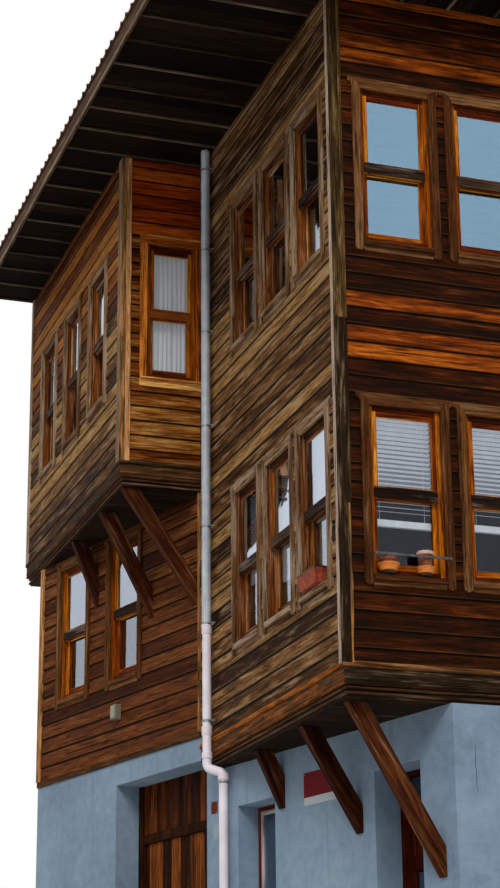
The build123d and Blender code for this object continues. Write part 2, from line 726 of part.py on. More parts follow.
with BuildPart() as roof:
    add(hipped(TILE_OVERHANG, roof_base, ROOF_EDGE, eave_end))
    void_end = BY + UPPER_END - TIMBER_WALL
    add(hipped(TILE_OVERHANG - ROOF_INSET, roof_base, ROOF_EDGE / 2, void_end), mode=Mode.SUBTRACT)
finish("roof", roof.part)


# Doors hang at the inner side of the thick street wall
def in_street(start, end, bottom, top, front, back):
    """A block in the street wall between two distances from corner C and two depths behind its face."""
    outline = [
        street_point(end, front),
        street_point(start, front),
        street_point(start, back),
        street_point(end, back),
    ]
    return prism(outline, bottom, top)


frame_front = PLASTER_WALL - DOOR_FRAME_DEPTH
leaf_front = PLASTER_WALL - DOOR_LEAF
stop_back = leaf_front - HINGE_GAP
leaf_bottom = SLAB_TOP + RUNNING_GAP


def hinge_side(post, toward, levels, leaf):
    """Lift-off hinges on the inner face beside a post edge: the leaf's knuckle sits on the frame's.

    toward is +1 or -1 along the wall, from the post to the leaf.
    """
    middle = post + toward * RUNNING_GAP / 2
    knuckle_at = street_point(middle, PLASTER_WALL + HINGE_RADIUS)
    reach = toward * HINGE_PLATE_WIDTH if leaf else -toward * HINGE_PLATE_WIDTH
    ends = sorted((middle, middle + reach))
    with BuildPart() as hinges:
        for level in levels:
            bottom = level + HINGE_GAP if leaf else level - HINGE_KNUCKLE
            with BuildSketch(Plane.XY.offset(bottom)):
                with Locations(knuckle_at):
                    Circle(HINGE_RADIUS)
            extrude(amount=HINGE_KNUCKLE)
            plate_depths = (PLASTER_WALL, PLASTER_WALL + HINGE_PLATE)
            add(in_street(*ends, bottom, bottom + HINGE_KNUCKLE, *plate_depths))
    return hinges.part


with BuildPart() as door_frame:
    add(in_street(DOOR_FROM, DOOR_FROM + DOOR_FRAME, SLAB_TOP, HEAD, frame_front, PLASTER_WALL))
    add(in_street(DOOR_TO - DOOR_FRAME, DOOR_TO, SLAB_TOP, HEAD, frame_front, PLASTER_WALL))
    add(in_street(DOOR_FROM, DOOR_TO, HEAD - DOOR_FRAME, HEAD, frame_front, PLASTER_WALL))
    transom_foot = DOOR_LEAF_TOP + RUNNING_GAP
    add(in_street(DOOR_FROM, DOOR_TO, transom_foot, transom_foot + TRANSOM, frame_front, PLASTER_WALL))
    for edge, inward in ((DOOR_FROM + DOOR_FRAME, 1), (DOOR_TO - DOOR_FRAME, -1)):
        span = sorted((edge, edge + inward * DOOR_STOP))
        add(in_street(*span, SLAB_TOP, transom_foot, frame_front, stop_back))
    span = (DOOR_FROM + DOOR_FRAME, DOOR_TO - DOOR_FRAME)
    add(in_street(*span, transom_foot - DOOR_STOP, transom_foot, frame_front, stop_back))
    add(hinge_side(DOOR_TO - DOOR_FRAME, -1, HINGE_LEVELS, leaf=False))
finish("door_frame", door_frame.part)

leaf_from = DOOR_FROM + DOOR_FRAME + RUNNING_GAP
leaf_to = DOOR_TO - DOOR_FRAME - RUNNING_GAP
glazed = (leaf_from + DOOR_STILE, leaf_to - DOOR_STILE, DOOR_MIDDLE_RAIL + DOOR_RAIL, DOOR_UPPER_RAIL)
panels = [
    (leaf_from + DOOR_STILE, leaf_to - DOOR_STILE, leaf_bottom + DOOR_FOOT_RAIL, DOOR_MIDDLE_RAIL),
    (leaf_from + DOOR_STILE, leaf_to - DOOR_STILE, DOOR_UPPER_RAIL + DOOR_RAIL, DOOR_LEAF_TOP - DOOR_RAIL),
]
with BuildPart() as leaf:
    add(in_street(leaf_from, leaf_to, leaf_bottom, DOOR_LEAF_TOP, leaf_front, PLASTER_WALL))
    add(in_street(*glazed, leaf_front, PLASTER_WALL), mode=Mode.SUBTRACT)
    for panel in panels:
        add(in_street(*panel, leaf_front, leaf_front + PANEL_SINK), mode=Mode.SUBTRACT)
        add(in_street(*panel, PLASTER_WALL - PANEL_SINK, PLASTER_WALL), mode=Mode.SUBTRACT)
    add(hinge_side(DOOR_TO - DOOR_FRAME, -1, HINGE_LEVELS, leaf=True))
finish("door_leaf", leaf.part)
pane_front = PLASTER_WALL - (DOOR_LEAF + GLASS) / 2
finish("door_leaf_glass", in_street(*glazed, pane_front, pane_front + GLASS))

with BuildPart() as gate_frame:
    add(in_street(GATE_FROM, GATE_FROM + GATE_POST, SLAB_TOP, RIGHT_PLATE, frame_front, PLASTER_WALL))
    add(in_street(GATE_TO - GATE_POST, GATE_TO, SLAB_TOP, GATE_HEAD, frame_front, PLASTER_WALL))
    gate_span = (GATE_FROM + GATE_POST, GATE_TO - GATE_POST)
    gate_transom = GATE_LEAF_TOP + RUNNING_GAP
    add(in_street(*gate_span, gate_transom, GATE_HEAD, frame_front + DOOR_STOP_DEPTH, PLASTER_WALL))
    add(in_street(*gate_span, gate_transom, gate_transom + GATE_POST, frame_front, PLASTER_WALL))
    add(in_street(*gate_span, gate_transom - DOOR_STOP, gate_transom, frame_front, stop_back))
    for edge, inward in ((gate_span[0], 1), (gate_span[1], -1)):
        span = sorted((edge, edge + inward * DOOR_STOP))
        add(in_street(*span, SLAB_TOP, gate_transom, frame_front, stop_back))
    add(hinge_side(gate_span[0], 1, HINGE_LEVELS, leaf=False))
    add(hinge_side(gate_span[1], -1, HINGE_LEVELS, leaf=False))
finish("gate_frame", gate_frame.part)

gate_middle = sum(gate_span) / 2
gate_leaves = {
    "gate_leaf_right": (gate_span[0] + RUNNING_GAP, gate_middle - RUNNING_GAP / 2, gate_span[0], 1),
    "gate_leaf_left": (gate_middle + RUNNING_GAP / 2, gate_span[1] - RUNNING_GAP, gate_span[1], -1),
}
for name, (start, end, post, toward) in gate_leaves.items():
    with BuildPart() as gate_leaf:
        add(in_street(start, end, leaf_bottom, GATE_LEAF_TOP, leaf_front, PLASTER_WALL - HINGE_PLATE))
        for level in LEDGE_LEVELS:
            ledge = (start + HINGE_PLATE_WIDTH, end - HINGE_PLATE_WIDTH, level - LEDGE / 2, level + LEDGE / 2)
            add(in_street(*ledge, PLASTER_WALL - HINGE_PLATE, PLASTER_WALL + LEDGE_THICK))
        stile = sorted((post + toward * RUNNING_GAP, post + toward * (RUNNING_GAP + HINGE_PLATE_WIDTH)))
        add(in_street(*stile, leaf_bottom, GATE_LEAF_TOP, leaf_front, PLASTER_WALL))
        add(hinge_side(post, toward, HINGE_LEVELS, leaf=True))
    finish(name, gate_leaf.part)

# Ground-floor windows: a frame near the inner side of the reveal, with one casement in it
ground_windows = [(street_face, street_length - STREET_WINDOW_TO, STREET_WINDOW_TO - STREET_WINDOW_FROM)]
ground_windows += [(ground_side_face, left, SMALL_WINDOW) for left in SIDE_WINDOWS]
ground_windows += [(back_face, left, SMALL_WINDOW) for left in BACK_WINDOWS]
with BuildPart() as ground_frames:
    for plane, left, width in ground_windows:
        middle = (left + width / 2, (STREET_SILL + HEAD) / 2)
        clear = 2 * (FRAME_MEMBER + SASH_STILE)
        with BuildSketch(plane.offset(-GROUND_WINDOW_SET_BACK)):
            with Locations(middle):
                Rectangle(width, HEAD - STREET_SILL)
                Rectangle(width - clear, HEAD - STREET_SILL - clear, mode=Mode.SUBTRACT)
        extrude(amount=-SASH_THICK - SASH_SET_BACK)
finish("ground_window_frames", ground_frames.part)
with BuildPart() as ground_glass:
    for plane, left, width in ground_windows:
        middle = (left + width / 2, (STREET_SILL + HEAD) / 2)
        clear = 2 * (FRAME_MEMBER + SASH_STILE)
        with BuildSketch(plane.offset(-GROUND_WINDOW_SET_BACK - SASH_THICK / 2)):
            with Locations(middle):
                Rectangle(width - clear, HEAD - STREET_SILL - clear)
        extrude(amount=-GLASS)
    transom_pane = (DOOR_FROM + DOOR_FRAME, DOOR_TO - DOOR_FRAME, transom_foot + TRANSOM, HEAD - DOOR_FRAME)
    add(in_street(*transom_pane, pane_front, pane_front + GLASS))
finish("ground_glass", ground_glass.part)

# Rainwater pipe on the bay's side wall near the inner corner, stepping back to the street wall under it
stand_off = PIPE_WALL_GAP + PIPE / 2
pipe_top = (corner_b[0] - stand_off, corner_b[1] + PIPE_UPPER)
pipe_foot = street_point(PIPE_LOWER, -stand_off)
offset_top = PIPE_OFFSET_LEVEL - PIPE_BEND
with BuildPart() as downpipe:
    with BuildLine() as route:
        Polyline(
            (*pipe_top, EAVES),
            (*pipe_top, PIPE_OFFSET_LEVEL),
            (*along(pipe_top, pipe_foot, PIPE_BEND), offset_top),
            (*along(pipe_foot, pipe_top, PIPE_BEND), offset_top - PIPE_OFFSET_DROP),
            (*pipe_foot, offset_top - PIPE_OFFSET_DROP - PIPE_BEND),
            (*pipe_foot, PIPE_OUTLET),
        )
    with BuildSketch(Plane.XY.offset(EAVES)):
        with Locations(pipe_top):
            Circle(PIPE / 2)
    sweep(path=route.wires()[0], transition=Transition.RIGHT)
    for level in PIN_LEVELS:
        with BuildSketch(Plane.XY.offset(level)):
            with Locations((pipe_top[0] + stand_off / 2, pipe_top[1])):
                Rectangle(stand_off, PIPE_PIN)
        extrude(amount=PIPE_PIN)
    for level in LOWER_PIN_LEVELS:
        pin = (PIPE_LOWER - PIPE_PIN / 2, PIPE_LOWER + PIPE_PIN / 2)
        add(in_street(*pin, level, level + PIPE_PIN, -stand_off, 0))
    with BuildSketch(Plane.XY.offset(PIPE_OUTLET)):
        with Locations(pipe_foot):
            Circle(PIPE_BORE / 2)
    extrude(amount=PIPE_BORE_DEPTH, mode=Mode.SUBTRACT)
finish("downpipe", downpipe.part)

# Bare plates on the street wall
with BuildPart() as plates:
    for (along_wall, level), (plate_width, plate_height) in (
        (PLAQUE_AT, PLAQUE),
        (NUMBER_PLATE_AT, NUMBER_PLATE),
    ):
        with BuildSketch(street_face):
            with Locations((street_length - along_wall, level)):
                Rectangle(plate_width, plate_height)
        extrude(amount=PLATE_THICK)
    with BuildSketch(street_face):
        with Locations((street_length - BELL_PLATE_AT[0], BELL_PLATE_AT[1])):
            Ellipse(BELL_PLATE[0] / 2, BELL_PLATE[1] / 2)
    extrude(amount=PLATE_THICK)
finish("wall_plates", plates.part)

# A guard bar bent round in front of the first window of the front
guard_lefts = (CORNER_MARGIN - GUARD_LAP, CORNER_MARGIN + WINDOW + GUARD_LAP)
bar_thick, bar_deep = GUARD_BAR
with BuildPart() as guard:
    with BuildSketch(Plane(front_face.origin, x_dir=front_face.x_dir, z_dir=(0, 0, 1))):
        with BuildLine():
            Polyline(
                (guard_lefts[0], -CASING_THICK),
                (guard_lefts[0], -GUARD_STAND),
                (guard_lefts[1], -GUARD_STAND),
                (guard_lefts[1], -CASING_THICK),
                (guard_lefts[1] - bar_thick, -CASING_THICK),
                (guard_lefts[1] - bar_thick, bar_thick - GUARD_STAND),
                (guard_lefts[0] + bar_thick, bar_thick - GUARD_STAND),
                (guard_lefts[0] + bar_thick, -CASING_THICK),
                close=True,
            )
        make_face()
    extrude(amount=bar_deep)
finish("window_guard", guard.part.moved(Location((0, 0, SILL_FIRST + GUARD_LEVEL))))


def cone(foot, top, bottom, end):
    """A tapered piece of a pot between two levels."""
    with BuildPart() as clay:
        with BuildSketch(Plane.XY.offset(bottom)):
            RegularPolygon(foot / 2, POT_SIDES)
        with BuildSketch(Plane.XY.offset(end)):
            RegularPolygon(top / 2, POT_SIDES)
        loft()
    return clay.part


def pot(sizes, dish):
    """A clay pot with a rolled rim, filled with earth, in a wider dish on a low saucer."""
    top, foot, height = sizes
    dish_top, dish_foot, dish_height = dish
    saucer, base = POT_SAUCER
    with BuildPart() as clay:
        add(cone(saucer, saucer, 0, base))
        add(cone(dish_foot, dish_top, base, dish_height))
        add(cone(foot, top - 2 * POT_RIM_NOSE, base, height - POT_RIM))
        add(cone(top, top, height - POT_RIM, height))
    return clay.part


# Two pots on that window's sill, and a trough on the sill of the side wall's nearest window
trough_length, trough_width, trough_height = TROUGH
with BuildPart() as pots:
    for at, sizes, dish in zip(POT_AT, POTS, POT_DISHES):
        with Locations((BX + CORNER_MARGIN + at, BY - POT_OUT, SILL_FIRST)):
            add(pot(sizes, dish))
    trough_middle = side_lefts[0] + WINDOW / 2
    with BuildSketch(Plane.XY.offset(SILL_FIRST)):
        with Locations((BX - TROUGH_OUT, BY + SIDE - trough_middle)):
            Rectangle(trough_width, trough_length)
    extrude(amount=trough_height)
    with BuildSketch(Plane.XY.offset(SILL_FIRST + trough_height)):
        with Locations((BX - TROUGH_OUT, BY + SIDE - trough_middle)):
            Rectangle(trough_width - 2 * POT_WALL, trough_length - 2 * POT_WALL)
    extrude(amount=-EARTH_DROP, mode=Mode.SUBTRACT)
finish("flower_pots", pots.part)
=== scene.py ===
from math import ceil, copysign, cos, dist, hypot, pi, radians, sin, sqrt, tan, tau
import random

import bmesh
import bpy
from mathutils import Matrix, Vector


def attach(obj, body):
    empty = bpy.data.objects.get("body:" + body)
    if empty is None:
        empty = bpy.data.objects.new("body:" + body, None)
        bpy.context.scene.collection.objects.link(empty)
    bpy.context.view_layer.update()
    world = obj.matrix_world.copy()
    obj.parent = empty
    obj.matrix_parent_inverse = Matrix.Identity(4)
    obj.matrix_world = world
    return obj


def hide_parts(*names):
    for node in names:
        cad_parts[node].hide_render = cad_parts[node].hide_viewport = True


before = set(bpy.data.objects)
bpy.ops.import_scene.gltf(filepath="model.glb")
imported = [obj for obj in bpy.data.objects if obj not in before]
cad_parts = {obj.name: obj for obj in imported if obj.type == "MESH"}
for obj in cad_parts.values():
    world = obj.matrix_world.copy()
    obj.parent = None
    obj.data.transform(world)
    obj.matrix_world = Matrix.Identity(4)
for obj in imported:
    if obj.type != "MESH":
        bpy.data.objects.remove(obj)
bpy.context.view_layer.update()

# The camera stands nearly a metre below the house's foot and looks up at corner B of the right bay.
# Its lens is about 84 mm long, and it leans a little over half a degree.
moved = Matrix.Translation


def put(name, data):
    """A new object in the scene."""
    made = bpy.data.objects.new(name, data)
    bpy.context.scene.collection.objects.link(made)
    return made


yaw, pitch, roll = (radians(angle) for angle in (19.042, 18.836, -0.5706))
sight = Vector((sin(yaw) * cos(pitch), cos(yaw) * cos(pitch), sin(pitch)))
level_right = Vector((cos(yaw), -sin(yaw), 0))
level_up = level_right.cross(sight)
picture_right = level_right * cos(roll) + level_up * sin(roll)
picture_up = level_up * cos(roll) - level_right * sin(roll)
street_camera = put("street_camera", bpy.data.cameras.new("street_camera"))
street_camera.data.lens = 83.89
street_camera.data.clip_end = 300
looking = Matrix((picture_right, picture_up, -sight)).transposed().to_4x4()
street_camera.matrix_world = moved((-8.960, -21.107, -0.922)) @ looking
bpy.context.scene.camera = street_camera
bpy.context.scene.view_settings.view_transform = "Standard"

# The stage is a pale round of floor under the house that fades out, under plain soft daylight.
# It ends short of the camera, which stands lower than it and looks up past its edge.


def shade(hex_colour):
    """An sRGB hex colour as the linear values that Blender's colour sockets take."""
    parts = [int(hex_colour[i : i + 2], 16) / 255 for i in (1, 3, 5)]
    return [p / 12.92 if p <= 0.04045 else ((p + 0.055) / 1.055) ** 2.4 for p in parts] + [1.0]


def feed(made, feeds):
    """Sets a node's inputs, each to a value, a hex colour, an output or the first output of a node."""
    for key, value in feeds.items():
        if isinstance(value, bpy.types.Node):
            value = next(result for result in value.outputs if result.enabled)
        if isinstance(value, bpy.types.NodeSocket):
            made.id_data.links.new(value, made.inputs[key])
        else:
            made.inputs[key].default_value = shade(value) if isinstance(value, str) else value


def node(tree, kind, *feeds, stops=(), **named):
    """Adds one node. Feeds go to its inputs in their order, and capital names are inputs too.

    A MapRange takes the value, the two ends it comes from and the two it goes to.
    """
    made = tree.nodes.new("ShaderNode" + kind)
    for key, value in named.items():
        if key.islower():
            setattr(made, key, value)
    used = [i for i, entry in enumerate(made.inputs) if entry.enabled]
    feed(made, dict(zip(used, feeds)))
    feed(made, {key.replace("_", " "): value for key, value in named.items() if not key.islower()})
    for i, (place, hex_colour) in enumerate(stops):
        stop = made.color_ramp.elements[i] if i < 2 else made.color_ramp.elements.new(place)
        stop.position, stop.color = place, shade(hex_colour)
    return made


def finish(name, roughness, **sockets):
    """A new material and its node tree. The sockets' values are the same all over."""
    material = bpy.data.materials.new(name)
    material.use_nodes = True
    shader = material.node_tree.nodes["Principled BSDF"]
    feed(shader, {"Roughness": roughness, **{key.replace("_", " "): value for key, value in sockets.items()}})
    return material, material.node_tree


STAGE_RADIUS, STAGE_SIDES = 13.0, 96
floor_mesh = bpy.data.meshes.new("stage_floor")
turns = [tau * i / STAGE_SIDES for i in range(STAGE_SIDES)]
rim = [(STAGE_RADIUS * cos(a), STAGE_RADIUS * sin(a), 0) for a in turns]
floor_mesh.from_pydata(rim, [], [list(range(STAGE_SIDES))])
put("stage_floor", floor_mesh)
pale_floor, tree = finish("pale_floor", 0.9, Base_Color="#f2f2f0")
distance = node(tree, "VectorMath", node(tree, "TexCoord").outputs["Object"], operation="LENGTH")
fade = node(tree, "MapRange", distance.outputs["Value"], 9.5, 12.8, interpolation_type="SMOOTHSTEP")
edge = node(tree, "MixShader", fade, tree.nodes["Principled BSDF"], node(tree, "BsdfTransparent"))
feed(tree.nodes["Material Output"], {"Surface": edge})
floor_mesh.materials.append(pale_floor)

daylight = bpy.data.worlds.new("daylight")
bpy.context.scene.world = daylight
daylight.use_nodes = True
tree = daylight.node_tree
tree.nodes.clear()
ray = node(tree, "LightPath").outputs
seen = node(tree, "Math", ray["Is Camera Ray"], ray["Is Glossy Ray"], operation="MAXIMUM")
seen = node(tree, "Math", seen, ray["Is Transmission Ray"], operation="MAXIMUM")
overcast = node(tree, "Background", Color=(0.97, 0.985, 1, 1), Strength=0.42)
backdrop = node(tree, "Background", Color=(1, 1, 1, 1), Strength=1)
node(tree, "OutputWorld", Surface=node(tree, "MixShader", seen, overcast, backdrop))

for lamp_name, strength, spread_angle, towards in (
    ("key_lamp", 1.7, 24, (0.42, 0.70, -0.66)),
    ("fill_lamp", 0.30, 60, (-0.50, 0.72, -0.55)),
):
    lamp = put(lamp_name, bpy.data.lights.new(lamp_name, "SUN"))
    lamp.data.energy = strength
    lamp.data.angle = radians(spread_angle)
    lamp.rotation_mode = "QUATERNION"
    lamp.rotation_quaternion = Vector(towards).to_track_quat("-Z", "Y")

# The ground floor's walls are brick and rubble under lime plaster, limewashed a pale grey-blue.
# The wash is uneven, thin where the trowel left ridges, greyer near its foot, with a few runs.


def dress(tree, colour, height=None, strength=0.0, depth=0.0, rough=None):
    """Leads a colour, the relief of a height and a roughness to a material's shader. Depth is in metres."""
    given = {"Base Color": colour}
    if height is not None:
        given["Normal"] = node(tree, "Bump", Strength=strength, Distance=depth, Height=height)
    if rough is not None:
        given["Roughness"] = rough
    feed(tree.nodes["Principled BSDF"], given)


def cover(names, material):
    """Puts a material on pieces whose shape stays as it was built."""
    for name in names.split():
        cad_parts[name].data.materials.clear()
        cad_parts[name].data.materials.append(material)


limewash, tree = finish("limewashed_plaster", 0.9)
place = node(tree, "TexCoord").outputs["Object"]
clouds = node(tree, "TexNoise", place, Scale=0.9, Detail=5, Roughness=0.55)
brush = node(tree, "TexNoise", place, Scale=9, Detail=6, Roughness=0.65)
both = node(tree, "Mix", 0.42, clouds, brush)
wash = node(tree, "ValToRGB", both, stops=[(0.32, "#67798a"), (0.5, "#7b8fa1"), (0.68, "#8ca0b0")])
runs = node(tree, "TexNoise", node(tree, "Mapping", place, Scale=(7, 7, 0.5)), Scale=1, Detail=3)
run_share = node(tree, "MapRange", runs, 0.6, 0.8, 0, 0.5)
stained = node(tree, "Mix", run_share, wash, "#5a646b", data_type="RGBA")
splash = node(tree, "MapRange", node(tree, "SeparateXYZ", place).outputs["Z"], 0.05, 0.8, 0.55, 0)
uneven = node(tree, "Math", splash, brush, operation="MULTIPLY")
dirty = node(tree, "Mix", uneven, stained, "#3f4446", data_type="RGBA")
grit = node(tree, "TexNoise", place, Scale=70, Detail=3)  # 14 mm trowel texture
dress(tree, dirty, node(tree, "Math", grit, brush, operation="ADD"), 0.35, 0.004)
cover("street_wall_corner street_wall_over_door street_wall_middle street_wall_over_gate", limewash)
cover("street_wall_left side_wall_ground rear_walls_ground", limewash)

# The slab and the floors: stone flags at the bottom, sawn softwood boards above.
# They show only as a dark edge through a doorway and as shadow behind the panes.


def mottled(name, roughness, stops, cloud, grit=None, strength=0.0, depth=0.0, **sockets):
    """A finish of one cloudy colour, with grit for its relief. Cloud and grit are settings of noises."""
    material, tree = finish(name, roughness, **sockets)
    place = node(tree, "TexCoord").outputs["Object"]
    tint = node(tree, "ValToRGB", node(tree, "TexNoise", place, **cloud), stops=stops)
    dress(tree, tint, node(tree, "TexNoise", place, **grit) if grit else None, strength, depth)
    return material


stone = mottled("worn_stone", 0.75, [(0.3, "#6b6863"), (0.7, "#8d8981")], {"Scale": 14, "Detail": 6})
cover("ground_floor", stone)

# Timber: softwood boards and beams under an old dark oil stain, bleached where the weather reaches.
# The grain runs along each piece, with darker streaks, grey patches, knots and a worn lower edge.
# On lapped boards that edge is partly a painted highlight, and their tucked top is painted shade.
workshop = random.Random(7)
vary = workshop.uniform
HOUSE_PLAN = Matrix.Identity(4)


def swept(section, axis, *ends):
    """A section's points of two coordinates as rings at the ends' places on a third axis."""
    return [[(*point[:axis], end, *point[axis:]) for point in section] for end in ends]


class Stack:
    """Sawn pieces nailed up as one object, each with its own place in the grain and its own tone."""

    def __init__(self):
        self.points, self.faces, self.grain, self.tones = [], [], [], []

    def piece(self, place, rings, along=0, root=(0, 0, 0), tone=None):
        """One piece through a series of rings of points. Along is the local axis that the grain follows."""
        count, first = len(rings[0]), len(self.points)
        shift = Vector((vary(0, 40), 0, vary(1, 60)))
        tone = workshop.random() if tone is None else tone
        for ring in rings:
            for point in ring:
                local = Vector(point) - Vector(root)
                self.points.append(place @ Vector(point))
                self.grain.append(Vector([local[(along + k) % 3] for k in range(3)]) + shift)
                self.tones.append(tone)
        for r in range(len(rings) - 1):
            for i in range(count):
                a, b = first + r * count + i, first + r * count + (i + 1) % count
                self.faces.append((a, b, b + count, a + count))
        self.faces.append(tuple(first + i for i in reversed(range(count))))
        self.faces.append(tuple(first + (len(rings) - 1) * count + i for i in range(count)))

    def bar(self, place, low, high, along=0, tone=None):
        """A square-sawn piece between two opposite corners."""
        (a0, b0), (a1, b1) = (corner[:along] + corner[along + 1 :] for corner in (low, high))
        section = [(a0, b0), (a1, b0), (a1, b1), (a0, b1)]
        self.piece(place, swept(section, along, low[along], high[along]), along, low, tone)

    def build(self, name, material, slot="weathered_timber", body="house", arris=0.0, instead_of=None):
        """The object itself. Arris is how far its sharp edges are worn off."""
        mesh = bpy.data.meshes.new(name)
        mesh.from_pydata(self.points, [], self.faces)
        shape = bmesh.new()
        shape.from_mesh(mesh)
        bmesh.ops.recalc_face_normals(shape, faces=shape.faces)
        shape.to_mesh(mesh)
        shape.free()
        grain = mesh.attributes.new("grain", "FLOAT_VECTOR", "POINT")
        grain.data.foreach_set("vector", [value for point in self.grain for value in point])
        mesh.attributes.new("tone", "FLOAT", "POINT").data.foreach_set("value", self.tones)
        mesh.materials.append(material)
        made = put(name, mesh)
        if arris:
            worn = made.modifiers.new("arris", "BEVEL")
            worn.width = arris
            worn.segments = 1
            worn.limit_method = "ANGLE"
            worn.angle_limit = radians(50)
        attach(made, body)
        if instead_of:
            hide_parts(instead_of)
        return made


def stacks(count):
    """So many empty stacks."""
    return (Stack() for _ in range(count))


def spread(tints, start=0.0, width=1.0):
    """Hex colours as evenly spaced stops of a colour ramp."""
    tints = tints.split()
    return [(start + width * i / (len(tints) - 1), tint) for i, tint in enumerate(tints)]


def timber(
    name, tones, weather=0.3, bleached="#8d7a64", stain="#150b06",
    turn=None, edge=0.0, lap_shade=0.0, gloss=0.72, knots=0.6, mottle=1.5,
):
    """Weathered, stained softwood. Turn lays object coordinates on the grain of a piece without its own."""
    material, tree = finish(name, gloss, Specular_IOR_Level=0.03)
    if turn is None:
        grain = node(tree, "Attribute", attribute_name="grain").outputs["Vector"]
        tone = node(tree, "Attribute", attribute_name="tone").outputs["Fac"]
    else:
        place = node(tree, "TexCoord").outputs["Object"]
        grain = node(tree, "Mapping", place, Rotation=[radians(a) for a in turn])
        tone = node(tree, "TexNoise", place, Scale=1.1)
    # streaks 26 mm across and 0.6 m long, fibres 9 mm across, weather patches 80 mm across and 0.7 m long
    streaks, fibres, patches = (
        node(tree, "TexNoise", node(tree, "Mapping", grain, Scale=(long, wide, wide)), Scale=1, **noise)
        for long, wide, noise in (
            (1.6, 38, {"Detail": 5, "Roughness": 0.66, "Distortion": 0.4}),
            (4, 110, {"Detail": 4, "Roughness": 0.75}),
            (1.4, 12.5, {"Detail": 4, "Roughness": 0.6, "Distortion": 0.4}),
        )
    )
    drift = node(tree, "Math", patches, 0.5, operation="SUBTRACT")
    tone = node(tree, "Math", drift, mottle, tone, operation="MULTIPLY_ADD")
    heart = node(tree, "ValToRGB", tone, stops=spread(tones))
    # dark summer wood between the streaks
    dark = node(tree, "MapRange", streaks, 0.5, 0.66, 0, 0.9)
    streaked = node(tree, "Mix", dark, heart, stain, data_type="RGBA")
    lines = node(tree, "MapRange", fibres, 0.38, 0.62, 0.42, 1.5)
    lined = node(tree, "Mix", 1.0, streaked, lines, data_type="RGBA", blend_type="MULTIPLY")
    # bleached wood where rain and sun reach it, most of it along the streaks
    reach = node(tree, "Math", streaks, -0.6, patches, operation="MULTIPLY_ADD")
    grey = node(tree, "MapRange", reach, 0.36 - 0.3 * weather, 0.5 - 0.22 * weather, 0, 0.25 + 0.6 * weather)
    faded = node(tree, "Mix", grey, lined, bleached, data_type="RGBA")
    # knots 15 to 40 mm across, longer along the grain, a few to the metre
    cells = node(tree, "TexVoronoi", node(tree, "Mapping", grain, Scale=(2.0, 6.5, 6.5)), Scale=1)
    knot = node(tree, "MapRange", cells, 0.14, 0.05, 0, knots)
    colour = node(tree, "Mix", knot, faded, stain, data_type="RGBA")
    if edge:
        # the lowest 4 to 12 mm of a lapped board, its drip edge, is worn pale, and is partly a painted
        # highlight
        across = node(tree, "SeparateXYZ", grain).outputs["Y"]
        drip_wear_and_highlight = node(tree, "MapRange", across, 0.012, 0.004, 0, edge)
        patchy = node(tree, "Math", drip_wear_and_highlight, patches, operation="MULTIPLY")
        colour = node(tree, "Mix", patchy, colour, bleached, data_type="RGBA")
        # painted shade: the top 30 mm of a lapped board, under the next board, is darkened for that board's
        # shadow
        painted_lap_shadow = node(tree, "MapRange", across, 0.143, 0.160, 0, lap_shade)
        colour = node(tree, "Mix", painted_lap_shadow, colour, "#0a0503", data_type="RGBA")
    ridges = node(tree, "Math", streaks, fibres, operation="ADD")
    dull = node(tree, "MapRange", patches, 0.3, 0.7, gloss - 0.12, gloss + 0.12)
    dress(tree, colour, ridges, 0.5, 0.0025, dull)
    return material


# The walls above are posts and studs, boarded outside. Seen from outside, the frame shows only
# in the window reveals, where the oiled posts still have their warm colour.
reveal_timber = timber("oiled_reveal_timber", "#4d2509 #6d3a10 #8d5320", 0.05, turn=(0, 90, 0), gloss=0.6)
sawn_floor = timber("sawn_floor_timber", "#4a3a28 #5f4c36 #75604a", 0.2, turn=(0, 0, 0))
cover("bay_side_wall_first bay_front_wall_first street_timber_wall rear_walls_first", reveal_timber)
cover("bay_side_wall_second bay_front_wall_second rear_walls_second", reveal_timber)
cover("left_bay_front_wall left_bay_side_wall", reveal_timber)
cover("first_floor second_floor attic_floor", sawn_floor)


def face(start, end, level=0.0):
    """A wall face seen from outside: x runs along it from start, y is up and z is outwards."""
    along = (Vector(end) - Vector(start)).to_3d().normalized()
    outwards = Vector((along.y, -along.x, 0))
    return moved((*start, level)) @ Matrix((along, (0, 0, 1), outwards)).transposed().to_4x4()


# Plan corners of the two bays and of the walls under them, in metres
HOUSE_X, BAY_X = 3.135, 2.185
BAY_FRONT_Y, BAY_BACK_Y, LOWER_END_Y, UPPER_END_Y = -4.048, 0.202, 4.002, 4.812
SIDE_LENGTH, FRONT_LENGTH, LEFT_SIDE_LENGTH, BACK_LENGTH = 4.25, 5.32, 4.61, 8.86
corner_a, corner_b, corner_d = (-BAY_X, BAY_BACK_Y), (-BAY_X, BAY_FRONT_Y), (HOUSE_X, BAY_FRONT_Y)
street_corner, lower_end = (-1.141, BAY_FRONT_Y), (-3.11846, LOWER_END_Y)
left_bay_corner, upper_end = (-HOUSE_X, BAY_BACK_Y), (-HOUSE_X, UPPER_END_Y)
lower_back, upper_back = (HOUSE_X, LOWER_END_Y), (HOUSE_X, UPPER_END_Y)

side_face = face(corner_a, corner_b)
front_face = face(corner_b, corner_d)
street_face = face(lower_end, corner_a)
bay_front_face = face(left_bay_corner, corner_a)
bay_side_face = face(upper_end, left_bay_corner)
back_face = face(corner_d, upper_back)

